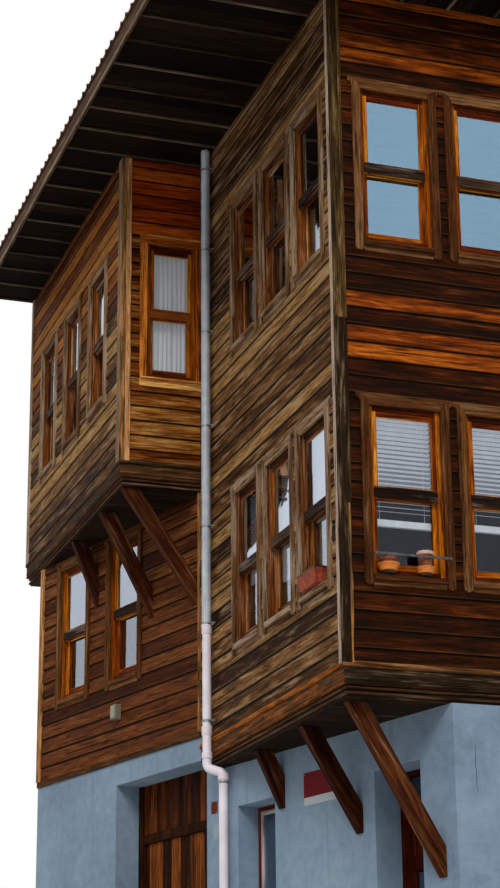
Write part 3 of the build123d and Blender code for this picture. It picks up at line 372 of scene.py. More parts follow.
# Weatherboards 0.18 m apart, each lapped over the one below and nailed through its lower edge.
# They come in lengths of 2 to 4 m with butt joints that fall anywhere, and none is quite straight.
WINDOW_HEIGHT = 1.645
SILL_FIRST, SILL_SECOND, SILL_STREET = 4.10, 7.455, 4.35
WIDE, NARROW = 0.74, 0.68
SIDE_WINDOWS = [(left, WIDE, sill) for sill in (SILL_FIRST, SILL_SECOND) for left in (1.220, 2.217, 3.214)]
FRONT_WINDOWS = [(0.296 + 0.997 * i, WIDE, sill) for sill in (SILL_FIRST, SILL_SECOND) for i in range(5)]
STREET_WINDOWS = [(left, NARROW, SILL_STREET) for left in (0.5543, 1.8243)]
BAY_FRONT_WINDOWS = [(0.282, 0.593, SILL_SECOND)]
BAY_SIDE_WINDOWS = [(left, NARROW, SILL_SECOND) for left in (0.732, 1.965, 3.198)]
BACK_LEFTS = (1.4, 2.397, 5.4, 6.397)
BACK_WINDOWS = [(left, WIDE, sill) for sill in (SILL_STREET, SILL_SECOND) for left in BACK_LEFTS]
SKIRT_TOP, STREET_SKIRT_TOP, LEFT_SKIRT_TOP = 3.213, 3.403, 6.393
RIGHT_BAY_FOOT, LEFT_BAY_FOOT = 2.93, 6.13
SOFFIT = 10.18
COURSE = 0.1765
BUTT = 0.021  # how far a board's lower edge stands in front of the wall
TUCK = 0.007  # and its upper edge, under the next board
GAP = 0.0012  # half the gap at a butt joint


def course_stretches(start, end, low, high, windows):
    """The parts of one course that the windows leave, as (from, to, lower edge, upper edge)."""
    edges = [mark for left, width, sill in windows for mark in (left, left + width) if start < mark < end]
    marks = sorted({start, end, *edges})
    found = []
    for a, b in zip(marks, marks[1:]):
        kept = [(low, high)]
        for left, width, sill in windows:
            if left < (a + b) / 2 < left + width:
                head = sill + WINDOW_HEIGHT
                cuts = [cut for u, v in kept for cut in ((u, min(v, sill)), (max(u, head), v))]
                kept = [(u, v) for u, v in cuts if v - u > 0.012]
        for u, v in kept:
            if found and found[-1][1] == a and found[-1][2:] == (u, v):
                found[-1] = (found[-1][0], b, u, v)
            else:
                found.append((a, b, u, v))
    return found


def weatherboards(name, wall, start, end, bottom, top, windows, material, tones=(), whole=False):
    """Lapped boards over a wall face, cut round its windows. Tones are the lowest courses' own."""
    boards = Stack()
    level = bottom
    while level < top - 0.02:
        upper = min(level + COURSE, top)
        course = round((level - bottom) / COURSE)
        joint = end if whole else start + vary(0.4, 3.2)
        joints = [start]
        while joint < end - 0.3:
            joints.append(joint)
            joint += vary(2.0, 3.9)
        joints.append(end)
        for first, last in zip(joints, joints[1:]):
            tone = tones[course] if course < len(tones) else workshop.random()
            proud = vary(0, 0.002)
            for a, b, low, high in course_stretches(first, last, level, upper, windows):
                steps = max(1, round((b - a) / 0.7))
                rings = []
                for k in range(steps + 1):
                    x = a + (b - a) * k / steps + (GAP if k == 0 else -GAP if k == steps else 0)
                    lean, lift = proud + vary(-0.0012, 0.0012), vary(-0.0015, 0.0015)
                    foot, back = (BUTT + lean - (BUTT - TUCK) * (y - level) / COURSE for y in (low, high))
                    section = [(low + lift, 0), (low + lift, foot - 0.003), (low + lift + 0.003, foot)]
                    rings += swept([*section, (high, back), (high, 0)], 0, x)
                boards.piece(wall, rings, 0, (0, level, 0), tone)
        level += COURSE
    boards.build("boards_" + name, material)


weathered_boards = timber(
    "weathered_softwood_boards", "#221105 #432810 #6a4626 #8c643a #ae844e",
    0.42, "#a08870", "#1a0e05", edge=0.5, lap_shade=0.95, mottle=2.0,
)
dark_boards = timber(
    "dark_oiled_boards", "#140702 #1f0c03 #301304 #471d06 #6b2c08 #98460e #b65c14",
    0.08, "#6b4a2c", "#0b0402", edge=0.6, lap_shade=0.95, gloss=0.6,
)
brown_boards = timber(
    "brown_oiled_boards", "#3a1604 #62300c #884818 #a66028 #b87838",
    0.2, "#9a7850", "#160903", edge=0.4, lap_shade=0.9, gloss=0.66,
)
rust_boards = timber(
    "rust_red_oiled_boards", "#7a2603 #9c3607 #b8480d #cc6020",
    0.05, "#9a5a30", "#2a0d02", edge=0.3, lap_shade=0.9, gloss=0.6,
)
golden_boards = timber(
    "golden_oiled_boards", "#4e1803 #70340c #8c4f1a #a66c32 #bc8848",
    0.2, "#a8804e", "#1d0b03", edge=0.5, lap_shade=0.9, gloss=0.6, mottle=3.0,
)
red_boards = timber(
    "red_brown_oiled_boards", "#34160a #48230f #5a2f15 #6a3a1c #7b4a26",
    0.12, "#8a6038", "#1a0a04", edge=0.4, lap_shade=0.9, gloss=0.66,
)

# how light each course of the front is, from the skirt up: the oil has gone from a few of them
FRONT_TONES = (0.30, 0.34, 0.22, 0.42, 0.26, 0.36, 0.30, 0.38, 0.24, 0.33, 0.28, 0.36, 0.30, 0.26, 0.20)
FRONT_TONES += (0.30, 0.36, 0.95, 0.66, 0.28, 0.72, 0.24, 0.40, 0.30, 0.34, 0.24, 0.30, 0.36, 0.26, 0.32)
BAY_TONES = (0.40, 0.62, 0.70, 0.60, 0.66, 0.50, 0.30, 0.22, 0.28, 0.16, 0.30, 0.46, 0.24, 0.34, 0.18, 0.22)
ABOVE_BAY_WINDOW = LEFT_SKIRT_TOP + 16 * COURSE
BLEACHED_TO = LEFT_SKIRT_TOP + 11 * COURSE
for name, wall, *where in (
    ("bay_side", side_face, 0.0, SIDE_LENGTH, SKIRT_TOP, SOFFIT, SIDE_WINDOWS, weathered_boards, (), True),
    (
        "bay_front", front_face, 0.0, FRONT_LENGTH, SKIRT_TOP, SOFFIT,
        FRONT_WINDOWS, dark_boards, FRONT_TONES, True,
    ),
    (
        "over_gate", street_face, 0.0, 3.862, STREET_SKIRT_TOP, LEFT_BAY_FOOT,
        STREET_WINDOWS, red_boards, (), True,
    ),
    (
        "left_bay_front", bay_front_face, 0.0, 0.928, LEFT_SKIRT_TOP, ABOVE_BAY_WINDOW,
        BAY_FRONT_WINDOWS, golden_boards, BAY_TONES, True,
    ),
    ("left_bay_front_top", bay_front_face, 0.0, 0.928, ABOVE_BAY_WINDOW, SOFFIT, (), rust_boards, (), True),
    (
        "left_bay_side", bay_side_face, 0.0, LEFT_SIDE_LENGTH, LEFT_SKIRT_TOP, BLEACHED_TO,
        BAY_SIDE_WINDOWS, weathered_boards, (), True,
    ),
    (
        "left_bay_side_top", bay_side_face, 0.0, LEFT_SIDE_LENGTH, BLEACHED_TO, SOFFIT,
        BAY_SIDE_WINDOWS, brown_boards, (), True,
    ),
    ("back_front_part", back_face, 0.0, 4.26, SKIRT_TOP, LEFT_BAY_FOOT, BACK_WINDOWS, weathered_boards),
    ("back_end_part", back_face, 4.26, 8.05, STREET_SKIRT_TOP, LEFT_BAY_FOOT, BACK_WINDOWS, weathered_boards),
    ("back_upper", back_face, 0.0, BACK_LENGTH, LEFT_BAY_FOOT, SOFFIT, BACK_WINDOWS, weathered_boards),
    ("end_lower", face(lower_back, lower_end), 0.0, 6.253, 3.36, LEFT_BAY_FOOT, (), weathered_boards),
    ("end_upper", face(upper_back, upper_end), 0.0, 6.27, 6.25, SOFFIT, (), weathered_boards),
):
    weatherboards(name, wall, *where)

# Casings: 85 mm uprights nailed over the board ends, with a sill between them and an apron under it.
# The tops of neighbours lean together into a small arch over the short boards between two windows.
CASING, CASING_THICK, CASING_FOOT = 0.085, 0.040, 0.120
CROWN_RISE, CROWN_WIDTH, UNDER_RISE = 0.098, 0.034, 0.052
CROWN_REACH = 0.0435  # half the strip of boards between two casings
BAND, BAND_THICK = 0.122, 0.026


def arch(reach, rise, base, steps=7):
    """Points of a quarter round that starts upright and ends level."""
    quarter = [pi / 2 * i / steps for i in range(steps + 1)]
    return [(reach * (1 - cos(a)), base + rise * sin(a)) for a in quarter]


CROWN = arch(CASING + CROWN_REACH, CROWN_RISE, WINDOW_HEIGHT)


def upright_outline():
    """An upright's front face: a rounded foot, a straight shank and a crown that leans outwards."""
    inner = arch(CROWN_REACH, UNDER_RISE, WINDOW_HEIGHT + CROWN_RISE - CROWN_WIDTH - UNDER_RISE)
    underside = [(CASING + x, y) for x, y in reversed(inner)]
    half = CASING / 2
    knee = half * 0.7 - CASING_FOOT
    turns = [pi * i / 8 for i in range(1, 8)]
    foot = [(half + half * cos(a), knee - half * 0.7 * sin(a)) for a in turns]
    return [*CROWN, *underside, (CASING, knee), *foot, (0, knee)]


def casing_row(uprights, sills, bands, wall, windows, crowned):
    """Cases a row of windows on a wall. Without crowns the uprights end square under a head board."""
    top = WINDOW_HEIGHT + BAND
    board = WINDOW_HEIGHT + 0.012
    for left, width, sill in windows:
        place = wall @ moved((left, sill, 0))
        for edge, outward in ((0, -1), (width, 1)):
            narrow = CASING if outward < 0 else 0.072
            square = [(0, -0.010), (0, board), (narrow, board), (narrow, -0.010)]
            outline = [(edge + outward * x, y) for x, y in (upright_outline() if crowned else square)]
            uprights.piece(place, swept(outline, 2, 0.0, CASING_THICK + vary(-0.0015, 0.0)), 1)
        if crowned:
            x0, x1 = 0.001, width - 0.001
            nose = [(-0.067, 0.0), (-0.067, 0.058), (-0.014, 0.058), (0.0, 0.0)]
            sills.piece(place, swept(nose, 0, x0, x1))
            sills.bar(place, (x0, -CASING_FOOT, 0), (x1, -0.067, 0.026))
            left_curve = [(-x, y) for x, y in CROWN]
            right_curve = [(width + x, y) for x, y in CROWN]
            outline = left_curve + [(left_curve[-1][0], top), (right_curve[-1][0], top)] + right_curve[::-1]
            bands.piece(place, swept(outline, 2, 0.0, BAND_THICK))
        else:
            x0, x1 = -CASING, width + 0.070
            nose = [(-0.032, 0), (-0.032, 0.058), (-0.014, 0.058), (-0.010, 0)]
            sills.piece(place, swept(nose, 0, x0, x1))
            sills.bar(place, (x0, -CASING_FOOT, 0), (x1, -0.034, 0.026))
            bands.bar(place, (x0, board, 0), (x1, top - 0.020, 0.032))
            bands.bar(place, (x0, top - 0.020, 0), (x1, top, 0.040))


golden_casing = timber(
    "golden_casing_timber", "#b4591a #d47e2e #e89e48 #f4b866", 0.1, "#b99468", "#3a1a08"
)
weathered_casing = timber(
    "weathered_casing_timber", "#5a3a1e #735133 #8a6848 #a08468", 0.5, "#b49f8a", "#25160c"
)
brown_casing = timber("brown_casing_timber", "#4a2611 #5d3619 #704826 #845b38", 0.25, "#86705a", "#180d06")
ROWS = {
    "side": [(side_face, SIDE_WINDOWS[:3]), (back_face, BACK_WINDOWS[:4])],
    "front": [(front_face, FRONT_WINDOWS[:5])],
    "street": [(street_face, STREET_WINDOWS)],
    "upper_side": [
        (side_face, SIDE_WINDOWS[3:]),
        (bay_side_face, BAY_SIDE_WINDOWS),
        (back_face, BACK_WINDOWS[4:]),
    ],
    "upper_front": [(front_face, FRONT_WINDOWS[5:])],
    "upper_bay_front": [(bay_front_face, BAY_FRONT_WINDOWS)],
}
BUILT_CASINGS = {"front": "window_casings_first", "upper_front": "window_casings_second"}
for group, rows in ROWS.items():
    material = golden_casing if "bay" in group else weathered_casing if "side" in group else brown_casing
    uprights, sills, bands = stacks(3)
    for wall, windows in rows:
        casing_row(uprights, sills, bands, wall, windows, group != "upper_bay_front")
    built = BUILT_CASINGS.get(group)
    uprights.build("casing_uprights_" + group, material, "window_timber", arris=0.003, instead_of=built)
    sills.build("window_sills_" + group, material, "window_timber", arris=0.003)
    bands.build("head_bands_" + group, material, "window_timber", arris=0.003)

# Panes: old drawn glass, 3 to 4 mm, slightly wavy, bedded in putty. The upper panes mirror more,
# a painted reflection of the sky, pale blue on those under the eaves; the lower ones mirror less,
# as painted shade for the dark surroundings they face, and show the dark rooms.


def window_glass(name, least, greatest, tint="#d3dcea"):
    """Drawn glass that mirrors from least, square on, to greatest, at a slant, in a tint that is a painted
    sky colour.
    """
    material, tree = finish(name, 0.03)
    ripple = node(tree, "TexNoise", node(tree, "TexCoord").outputs["Object"], Scale=5, Detail=1)
    bump = node(tree, "Bump", Strength=0.12, Distance=0.01, Height=ripple)
    mirror = node(tree, "BsdfGlossy", Color=tint, Roughness=0.03, Normal=bump)
    clear = node(tree, "BsdfTransparent", Color="#f2f5f5")
    slant = node(tree, "LayerWeight", Blend=0.5).outputs["Facing"]
    share = node(tree, "MapRange", slant, 0.2, 0.75, least, greatest)
    feed(tree.nodes["Material Output"], {"Surface": node(tree, "MixShader", share, clear, mirror)})
    return material


sky_mirror_glass = window_glass("drawn_glass_upper_sashes", 0.11, 0.75)
dim_mirror_glass = window_glass("drawn_glass_lower_sashes", 0.02, 0.50)
blue_sky_mirror_glass = window_glass("drawn_glass_under_eaves", 0.29, 0.75, "#a2c8e4")
cover("ground_glass door_leaf_glass", dim_mirror_glass)

# Sash windows: a box frame with two sashes of oiled pine, the upper in front, and one pane each.
# The meeting rail has a deep nose that throws rain off; its top has gone grey.
FRAME_BACK, FRAME_FRONT, JAMB = -0.117, -0.012, 0.045
STILE_EDGE, PUTTY_EDGE, SASH_THICK = 0.046, 0.087, 0.04
SASHES = (  # bottom, top, foot rail, head rail, front
    (0.740, 1.600, 0.118, 0.050, -0.022),
    (0.045, 0.858, 0.070, 0.118, -0.066),
)
frame_timber = timber(
    "oiled_pine_frames", "#3c1405 #6a2a08 #96480c #bd6a14", 0.05, "#b98a5c", "#260c03", gloss=0.5
)
sash_timber = timber(
    "oiled_pine_sashes", "#4a1704 #7d3106 #b05c0e #d08322 #dc9a48", 0.08, "#d0a880", "#2a0c02", gloss=0.5
)
rainy_frames = timber("weathered_pine_frames", "#2c1408 #4d2610 #7a4018 #a4632c", 0.45, "#9c8570", "#1a0c05")
rainy_sashes = timber("weathered_pine_sashes", "#2c1408 #5a2c10 #94501c #c07c38", 0.40, "#ab937c", "#1e0d05")
golden_rail = timber("oiled_rail_timber", "#5a2408 #8a4216 #a85a20", 0.1, "#b08450", "#2a1006")
rail_timber = timber("weathered_rail_timber", "#1a0f09 #33231a #55402f", 0.5, "#8d7b6c", "#0d0704", gloss=0.7)


def sash_window(box, sashes, rails, upper_panes, lower_panes, place, width):
    """The timber of one sash window, with its lower left corner on the wall face at the sill."""
    height = WINDOW_HEIGHT
    for x0, x1 in ((0, JAMB), (width - JAMB, width)):
        box.bar(place, (x0, 0, FRAME_BACK), (x1, height, FRAME_FRONT), 1, vary(0.45, 0.85))
    for y0, y1 in ((0, JAMB), (height - JAMB, height)):
        box.bar(place, (JAMB, y0, FRAME_BACK), (width - JAMB, y1, FRAME_FRONT - 0.001), 0, vary(0.0, 0.3))
    for bottom, top, foot, head, front in SASHES:
        back, putty = front - SASH_THICK, front - 0.017
        low, high = bottom + foot, top - head
        x0, x1 = PUTTY_EDGE, width - PUTTY_EDGE
        for a, b in ((STILE_EDGE, x0), (x1, width - STILE_EDGE)):
            sashes.bar(place, (a, bottom, back), (b, top, front), 1, vary(0.25, 0.65))
        sashes.bar(place, (x0, bottom, back), (x1, low, front - 0.001), 0, vary(0.2, 0.6))
        sashes.bar(place, (x0, high, back), (x1, top, front - 0.001), 0, vary(0.0, 0.25))
        panes = upper_panes if bottom > 0.5 else lower_panes
        panes.bar(place, (0.083, low - 0.004, front - 0.021), (width - 0.083, high + 0.004, putty), 1)
        for axis, edges, ends in ((1, (x0, x1), (low, high)), (0, (low, high), (x0, x1))):
            for edge, sign in zip(edges, (1, -1)):
                bead = [(edge, putty), (edge, front - 0.003), (edge + sign * 0.011, putty)]
                sashes.piece(place, swept(bead, axis, *ends), axis)
    nose = [(0.742, -0.022), (0.740, -0.004), (0.835, -0.004), (0.858, -0.022)]
    rails.piece(place, swept(nose, 0, STILE_EDGE, width - STILE_EDGE))


for group, rows, glass, box_timber, leaf_timber in (
    ("first", ROWS["front"] + ROWS["street"], (sky_mirror_glass, dim_mirror_glass), frame_timber, sash_timber),
    ("side_first", ROWS["side"], (sky_mirror_glass, dim_mirror_glass), rainy_frames, rainy_sashes),
    ("second", ROWS["upper_front"], (blue_sky_mirror_glass, blue_sky_mirror_glass), frame_timber, sash_timber),
    ("bay_second", ROWS["upper_bay_front"], (dim_mirror_glass, dim_mirror_glass), frame_timber, sash_timber),
    ("side_second", ROWS["upper_side"], (sky_mirror_glass, dim_mirror_glass), rainy_frames, rainy_sashes),
):
    box, sashes, rails, upper_panes, lower_panes = stacks(5)
    for wall, windows in rows:
        for left, width, sill in windows:
            place = wall @ moved((left, sill, 0))
            sash_window(box, sashes, rails, upper_panes, lower_panes, place, width)
    rail = golden_rail if group == "bay_second" else rail_timber
    built_frames, built_glass = (
        kind + group if group in ("first", "second") else None for kind in ("window_frames_", "window_glass_")
    )
    box.build("box_frames_" + group, box_timber, "window_timber", arris=0.002, instead_of=built_frames)
    sashes.build("sashes_" + group, leaf_timber, "window_timber", arris=0.002)
    rails.build("meeting_rails_" + group, rail, "window_timber", arris=0.002)
    upper_panes.build("upper_panes_" + group, glass[0], "window_glass", instead_of=built_glass)
    lower_panes.build("lower_panes_" + group, glass[1], "window_glass")

# Sole plates: hewn beams under the bays, with boarding between them that closes the overhang.
# Two thin fillets run along their faces, close under the skirts.
# The plates are coloured near black, painted shade for the deep shadow under the bays.
plate_timber_painted_shade = timber(
    "aged_plate_timber", "#120b07 #1f140c #2d1e12 #3d2a1a", 0.1, stain="#080503", turn=(0, 0, 0)
)
cover("right_bay_sole_plate left_bay_sole_plate", plate_timber_painted_shade)


def moulding(stack, wall, start, end, profile, level, mitres, tone):
    """A planed length along a wall face. Mitres are 1 at an outer corner and 0 where it ends square."""
    ends = ((start, -mitres[0]), (end, mitres[1]))
    rings = [[(x + slope * z, level + y, z) for y, z in profile] for x, slope in ends]
    stack.piece(wall, rings, 0, (start, level, 0), tone)


fillet = [(0, -0.03), (0, -0.012), (0.005, -0.006), (0.020, -0.006), (0.025, -0.012), (0.025, -0.03)]
fillets = Stack()
for level in (3.008, 2.958):
    moulding(fillets, side_face, 0.0, SIDE_LENGTH, fillet, level, (0, 1), 0.5)
    moulding(fillets, front_face, 0.0, FRONT_LENGTH, fillet, level, (1, 1), 0.35)
    moulding(fillets, back_face, 0.0, 4.20, fillet, level, (1, 0), 0.35)
for level in (6.196, 6.145):
    moulding(fillets, bay_side_face, 0.03, LEFT_SIDE_LENGTH, fillet, level, (0, 1), 0.4)
    moulding(fillets, bay_front_face, 0.0, 0.95, fillet, level, (1, 0), 0.6)
fillet_timber = timber("brown_fillet_timber", "#2a1a10 #442c1c #5e4230 #7a5a42", stain="#120a06")
fillets.build("plate_fillets", fillet_timber, arris=0.002)

# Skirts: a planed board with a bead along its foot and a half-round on top that the boards drip onto.
# They are nailed to the studs and mitred at the corners, fox-red under the side windows and dark in front.
skirt_timber = timber(
    "oiled_skirt_timber", "#1d130c #352618 #5a3a1e #8a4c1a #a35f22", 0.35, "#8f7a62", "#120a05"
)
skirt_board = [(0, 0), (0, 0.011), (0.004, 0.018), (0.012, 0.022), (0.020, 0.022), (0.027, 0.018)]
skirt_board += [(0.029, 0.010), (0.035, 0.010), (0.037, 0.018), (0.146, 0.018), (0.150, 0.010), (0.150, 0)]
half_round = [(0.150, 0), (0.150, 0.024), (0.154, 0.032), (0.164, 0.036), (0.180, 0.036), (0.196, 0.031)]
half_round += [(0.208, 0.021), (0.213, 0.009), (0.213, 0)]
street_skirt = [(0, 0), (0, 0.018), (0.012, 0.020), (0.050, 0.020), (0.063, 0.012), (0.063, 0)]
SKIRT_FOOT, STREET_SKIRT_FOOT, LEFT_SKIRT_FOOT = 3.05, 3.34, 6.23
skirts = Stack()
for wall, end, level, mitres, tones in (
    (side_face, SIDE_LENGTH, SKIRT_FOOT, (0, 1), (0.62, 0.86)),
    (front_face, FRONT_LENGTH, SKIRT_FOOT, (1, 1), (0.12, 0.50)),
    (back_face, 4.272, SKIRT_FOOT, (1, 0), (0.30, 0.30)),
    (bay_side_face, LEFT_SIDE_LENGTH, LEFT_SKIRT_FOOT, (0, 1), (0.35, 0.35)),
    (bay_front_face, 0.929, LEFT_SKIRT_FOOT, (1, 0), (0.45, 0.30)),
):
    moulding(skirts, wall, 0.0, end, skirt_board, level, mitres, tones[0])
    moulding(skirts, wall, 0.0, end, half_round, level, mitres, tones[1])
moulding(skirts, street_face, 0.0, 3.893, street_skirt, STREET_SKIRT_FOOT, (0, 0), 0.45)
moulding(skirts, back_face, 4.272, 8.05, street_skirt, STREET_SKIRT_FOOT, (0, 0), 0.3)
skirts.build("skirt_boards_and_beads", skirt_timber, arris=0.0015, instead_of="skirt_mouldings")

# Raking brackets: sawn struts from the street wall up to each plate, spiked at the head.
# Their feet are cut to the wall, and their edges are planed off. Each has its own tone, lightest for the
# first under each bay; the darker ones further in are partly painted shade from the bay overhead.
BRACKET_DEPTH, BRACKET_THICK, BRACKET_TOE = 0.168, 0.105, 0.025
struts = Stack()


def street_wall_x(along):
    """Where the street wall's face is, at a distance from the right bay's front."""
    return street_corner[0] - (BAY_X + street_corner[0]) * along / SIDE_LENGTH


for middle, foot, tip, plate_foot, tone in (  # from the right bay's front to the back of the left one
    (0.212, 1.377, -2.110, RIGHT_BAY_FOOT, 0.48),
    (1.440, 1.928, -2.110, RIGHT_BAY_FOOT, 0.20),
    (2.740, 2.348, -2.110, RIGHT_BAY_FOOT, 0.22),
    (4.360, 4.847, -3.105, LEFT_BAY_FOOT, 0.42),
    (5.330, 4.909, -3.105, LEFT_BAY_FOOT, 0.34),
    (6.610, 5.331, -3.105, LEFT_BAY_FOOT, 0.28),
):
    heel = street_wall_x(middle) - BRACKET_TOE
    rise = (plate_foot - foot) / (heel - tip)
    head = BRACKET_DEPTH * hypot(1, rise) / rise
    lean = Vector((1, 0, -rise)).normalized()
    axes = Matrix((lean, (rise * lean.x, 0, lean.x), (0, -1, 0))).transposed().to_4x4()
    place = moved((tip, BAY_FRONT_Y + middle, plate_foot)) @ axes
    rings = []
    for side in (BRACKET_THICK / 2, -BRACKET_THICK / 2):
        wall = street_wall_x(middle + side)
        outline = [(tip, plate_foot), (heel, foot), (wall, foot)]
        outline += [(wall, plate_foot - rise * (wall - tip - head)), (tip + head, plate_foot)]
        rings.append([place.inverted() @ Vector((x, BAY_FRONT_Y + middle + side, z)) for x, z in outline])
    struts.piece(place, rings, 0, (0, 0, 0), tone)
bracket_timber = timber(
    "planed_bracket_timber", "#1c0b05 #34140a #4a220f #63391b #80562e #98703e",
    0.2, "#93795c", "#1c0d06", knots=0.4,
)
struts.build("sawn_brackets", bracket_timber, arris=0.009, instead_of="raking_brackets")

# Corner boards: planed boards up each corner, the front one lapping the edge of the side one.
# Rain and sun have bleached them: grey-brown on the sides, straw gold along the outer edge in front.
CORNER_THICK = 0.034
corner_timber = timber(
    "bleached_corner_timber", "#1c120a #2d2013 #54401f #8b6238 #ba7f48 #d79b66",
    0.3, "#9c8675", "#2a1a0c", knots=0.4,
)
grey_corner_timber = timber(
    "grey_brown_corner_timber", "#7a604a #957a62 #ae947c #c2a994", 0.5, "#c0ac9a", "#33220f", knots=0.4
)


def board_up(stack, wall, x0, x1, low, high, tone, waney=0.0):
    """An upright board on a wall face. Waney is how far its right-hand edge wanders."""
    steps = max(1, round((high - low) / 0.16)) if waney else 1
    rings = []
    for k in range(steps + 1):
        edge = x1 - (vary(0, waney) if waney else 0)
        section = [(x0, 0), (x0, CORNER_THICK), (edge, CORNER_THICK), (edge, 0)]
        rings += swept(section, 1, low + (high - low) * k / steps)
    stack.piece(wall, rings, 1, (x0, low, 0), tone)


corner_fronts, corner_sides = stacks(2)
for where in (
    (front_face, -CORNER_THICK, 0.059, SKIRT_TOP, 6.60, 0.12),
    (front_face, -CORNER_THICK, 0.059, 6.60, SOFFIT, 0.34),
    (front_face, 0.060, 0.095, SKIRT_TOP, 4.75, 0.64, 0.018),
    (front_face, 0.060, 0.095, 4.75, 6.60, 0.22),
    (front_face, 0.060, 0.095, 6.60, SOFFIT, 0.44),
    (front_face, 5.225, 5.354, SKIRT_TOP, SOFFIT, 0.35),
    (bay_front_face, -CORNER_THICK, 0.024, LEFT_SKIRT_TOP, SOFFIT, 0.66),
    (bay_front_face, 0.026, 0.090, LEFT_SKIRT_TOP, SOFFIT, 1.0, 0.006),
    (street_face, 0.0, 0.095, STREET_SKIRT_TOP, LEFT_BAY_FOOT, 0.80),
    (street_face, 3.862, 3.890, STREET_SKIRT_TOP, LEFT_BAY_FOOT, 0.70),
):
    board_up(corner_fronts, *where)
for where in (
    (side_face, 4.178, SIDE_LENGTH, SKIRT_TOP, SOFFIT, 0.8),
    (back_face, 0.0, 0.126, SKIRT_TOP, SOFFIT, 0.5),
    (bay_side_face, 4.484, LEFT_SIDE_LENGTH, LEFT_SKIRT_TOP, SOFFIT, 0.3),
    (bay_side_face, 0.0, 0.095, LEFT_SKIRT_TOP, SOFFIT, 0.5),
):
    board_up(corner_sides, *where)
corner_fronts.build("corner_boards_front", corner_timber, arris=0.004, instead_of="corner_boards")
corner_sides.build("corner_boards_side", grey_corner_timber, arris=0.004)

# Eaves: boards nailed up under the rafter feet, square cover battens over their joints,
# and a fascia with a small moulding. The boards are coloured almost black, painted shade for the
# shadow under the eaves; the battens are grey-brown.
EAVE_X, EAVE_Y = 3.925, 4.838  # half the roof's width and half its length
EAVE_OUT = 3.859  # inner face of the side fascias
EAVE_FRONT, FASCIA_FRONT = -4.772, -4.798
BOARD_LOW, BOARD_HIGH = SOFFIT + 0.004, SOFFIT + 0.022
BATTEN_LOW, BATTEN_HIGH = SOFFIT - 0.020, SOFFIT + 0.003
FASCIA_LOW, FASCIA_HIGH, MOULDING_HIGH = 10.157, 10.36, 10.196
BOARD_FACE = 0.022  # battens end at the face of the weatherboards
SOFFIT_BOARD = 0.26  # every second joint has a batten
FASCIA_LENGTH = 3.212
eaves_boards, battens, fascia = stacks(3)


def wall_x(side, y):
    """How far the wall under the eaves is from the middle of the house, on one side of it."""
    return BAY_X if side < 0 and y <= BAY_BACK_Y else HOUSE_X


joints_along = [1.67 + 2 * SOFFIT_BOARD * i for i in range(-12, 7)]
for side in (-1, 1):
    inner = (y for y in joints_along if EAVE_FRONT + 0.1 < y < EAVE_Y - 0.1)
    stops = sorted([EAVE_FRONT, BAY_BACK_Y, *inner, EAVE_Y])
    for first, last in zip(stops, stops[1:]):
        x0, x1 = sorted((side * EAVE_OUT, side * wall_x(side, last)))
        middle = (first + last) / 2
        for low, high in ((first, middle), (middle, last)):
            eaves_boards.bar(HOUSE_PLAN, (x0, low + 0.002, BOARD_LOW), (x1, high - 0.002, BOARD_HIGH))
    for y in joints_along[1:]:
        x0, x1 = sorted((side * EAVE_OUT, side * (wall_x(side, y) + BOARD_FACE)))
        battens.bar(HOUSE_PLAN, (x0, y - 0.013, BATTEN_LOW), (x1, y + 0.013, BATTEN_HIGH))
for i in range(21):
    x = SOFFIT_BOARD * i - BAY_X
    far = (min(x + SOFFIT_BOARD - 0.002, HOUSE_X), BAY_FRONT_Y, BOARD_HIGH)
    eaves_boards.bar(HOUSE_PLAN, (x + 0.002, EAVE_FRONT, BOARD_LOW), far, 1)
    if i % 2:
        far = (x + 0.013, BAY_FRONT_Y - 0.024, BATTEN_HIGH)
        battens.bar(HOUSE_PLAN, (x - 0.013, EAVE_FRONT, BATTEN_LOW), far, 1)
for x, degrees in ((-BAY_X - BOARD_FACE, -135), (HOUSE_X + BOARD_FACE, -45)):
    diagonal = moved((x, BAY_FRONT_Y - BOARD_FACE, SOFFIT)) @ Matrix.Rotation(radians(degrees), 4, "Z")
    battens.bar(diagonal, (0, -0.013, -0.021), (0.97, 0.013, 0.003))
for side in (-1, 1):
    for k in range(3):
        low = FASCIA_FRONT + FASCIA_LENGTH * k + 0.001
        high = FASCIA_FRONT + FASCIA_LENGTH * (k + 1) - 0.001
        for inner, outer, top, tone in (
            (EAVE_OUT, 3.885, FASCIA_HIGH, 0.45),
            (3.884, 3.897, MOULDING_HIGH, 0.9),
        ):
            x0, x1 = sorted((side * inner, side * outer))
            fascia.bar(HOUSE_PLAN, (x0, low, FASCIA_LOW), (x1, high, top), 1, tone)
for low in (-EAVE_OUT, 0.0):
    high = low + EAVE_OUT
    board_end = (high - 0.001, EAVE_FRONT, FASCIA_HIGH)
    fascia.bar(HOUSE_PLAN, (low + 0.001, FASCIA_FRONT, FASCIA_LOW), board_end, 0, 0.45)
    moulding_end = (high + 0.03, FASCIA_FRONT + 0.001, MOULDING_HIGH)
    fascia.bar(HOUSE_PLAN, (low - 0.03, FASCIA_FRONT - 0.013, FASCIA_LOW), moulding_end, 0, 0.9)
for low, high in ((-EAVE_OUT, -HOUSE_X), (HOUSE_X, EAVE_OUT)):
    fascia.bar(HOUSE_PLAN, (low, EAVE_Y - 0.022, 10.203), (high, EAVE_Y - 0.002, FASCIA_HIGH), 0, 0.4)
soffit_timber_painted_shade = timber(
    "shaded_soffit_boards", "#0c0704 #140c07 #1d130b #281a10", 0.0, "#3a2c20", "#070403", gloss=0.85
)
batten_timber = timber("grey_brown_battens", "#33291e #4a3d30 #60503f #74654f", 0.4, stain="#2a1d12")
fascia_timber = timber("fascia_timber", "#2c1c10 #3e2a1a #5a4331 #7d6753 #9a8570", stain="#1a100a")
eaves_boards.build("soffit_boards", soffit_timber_painted_shade, instead_of="eaves")
battens.build("soffit_battens", batten_timber, arris=0.002)
fascia.build("fascia_boards", fascia_timber, arris=0.002)

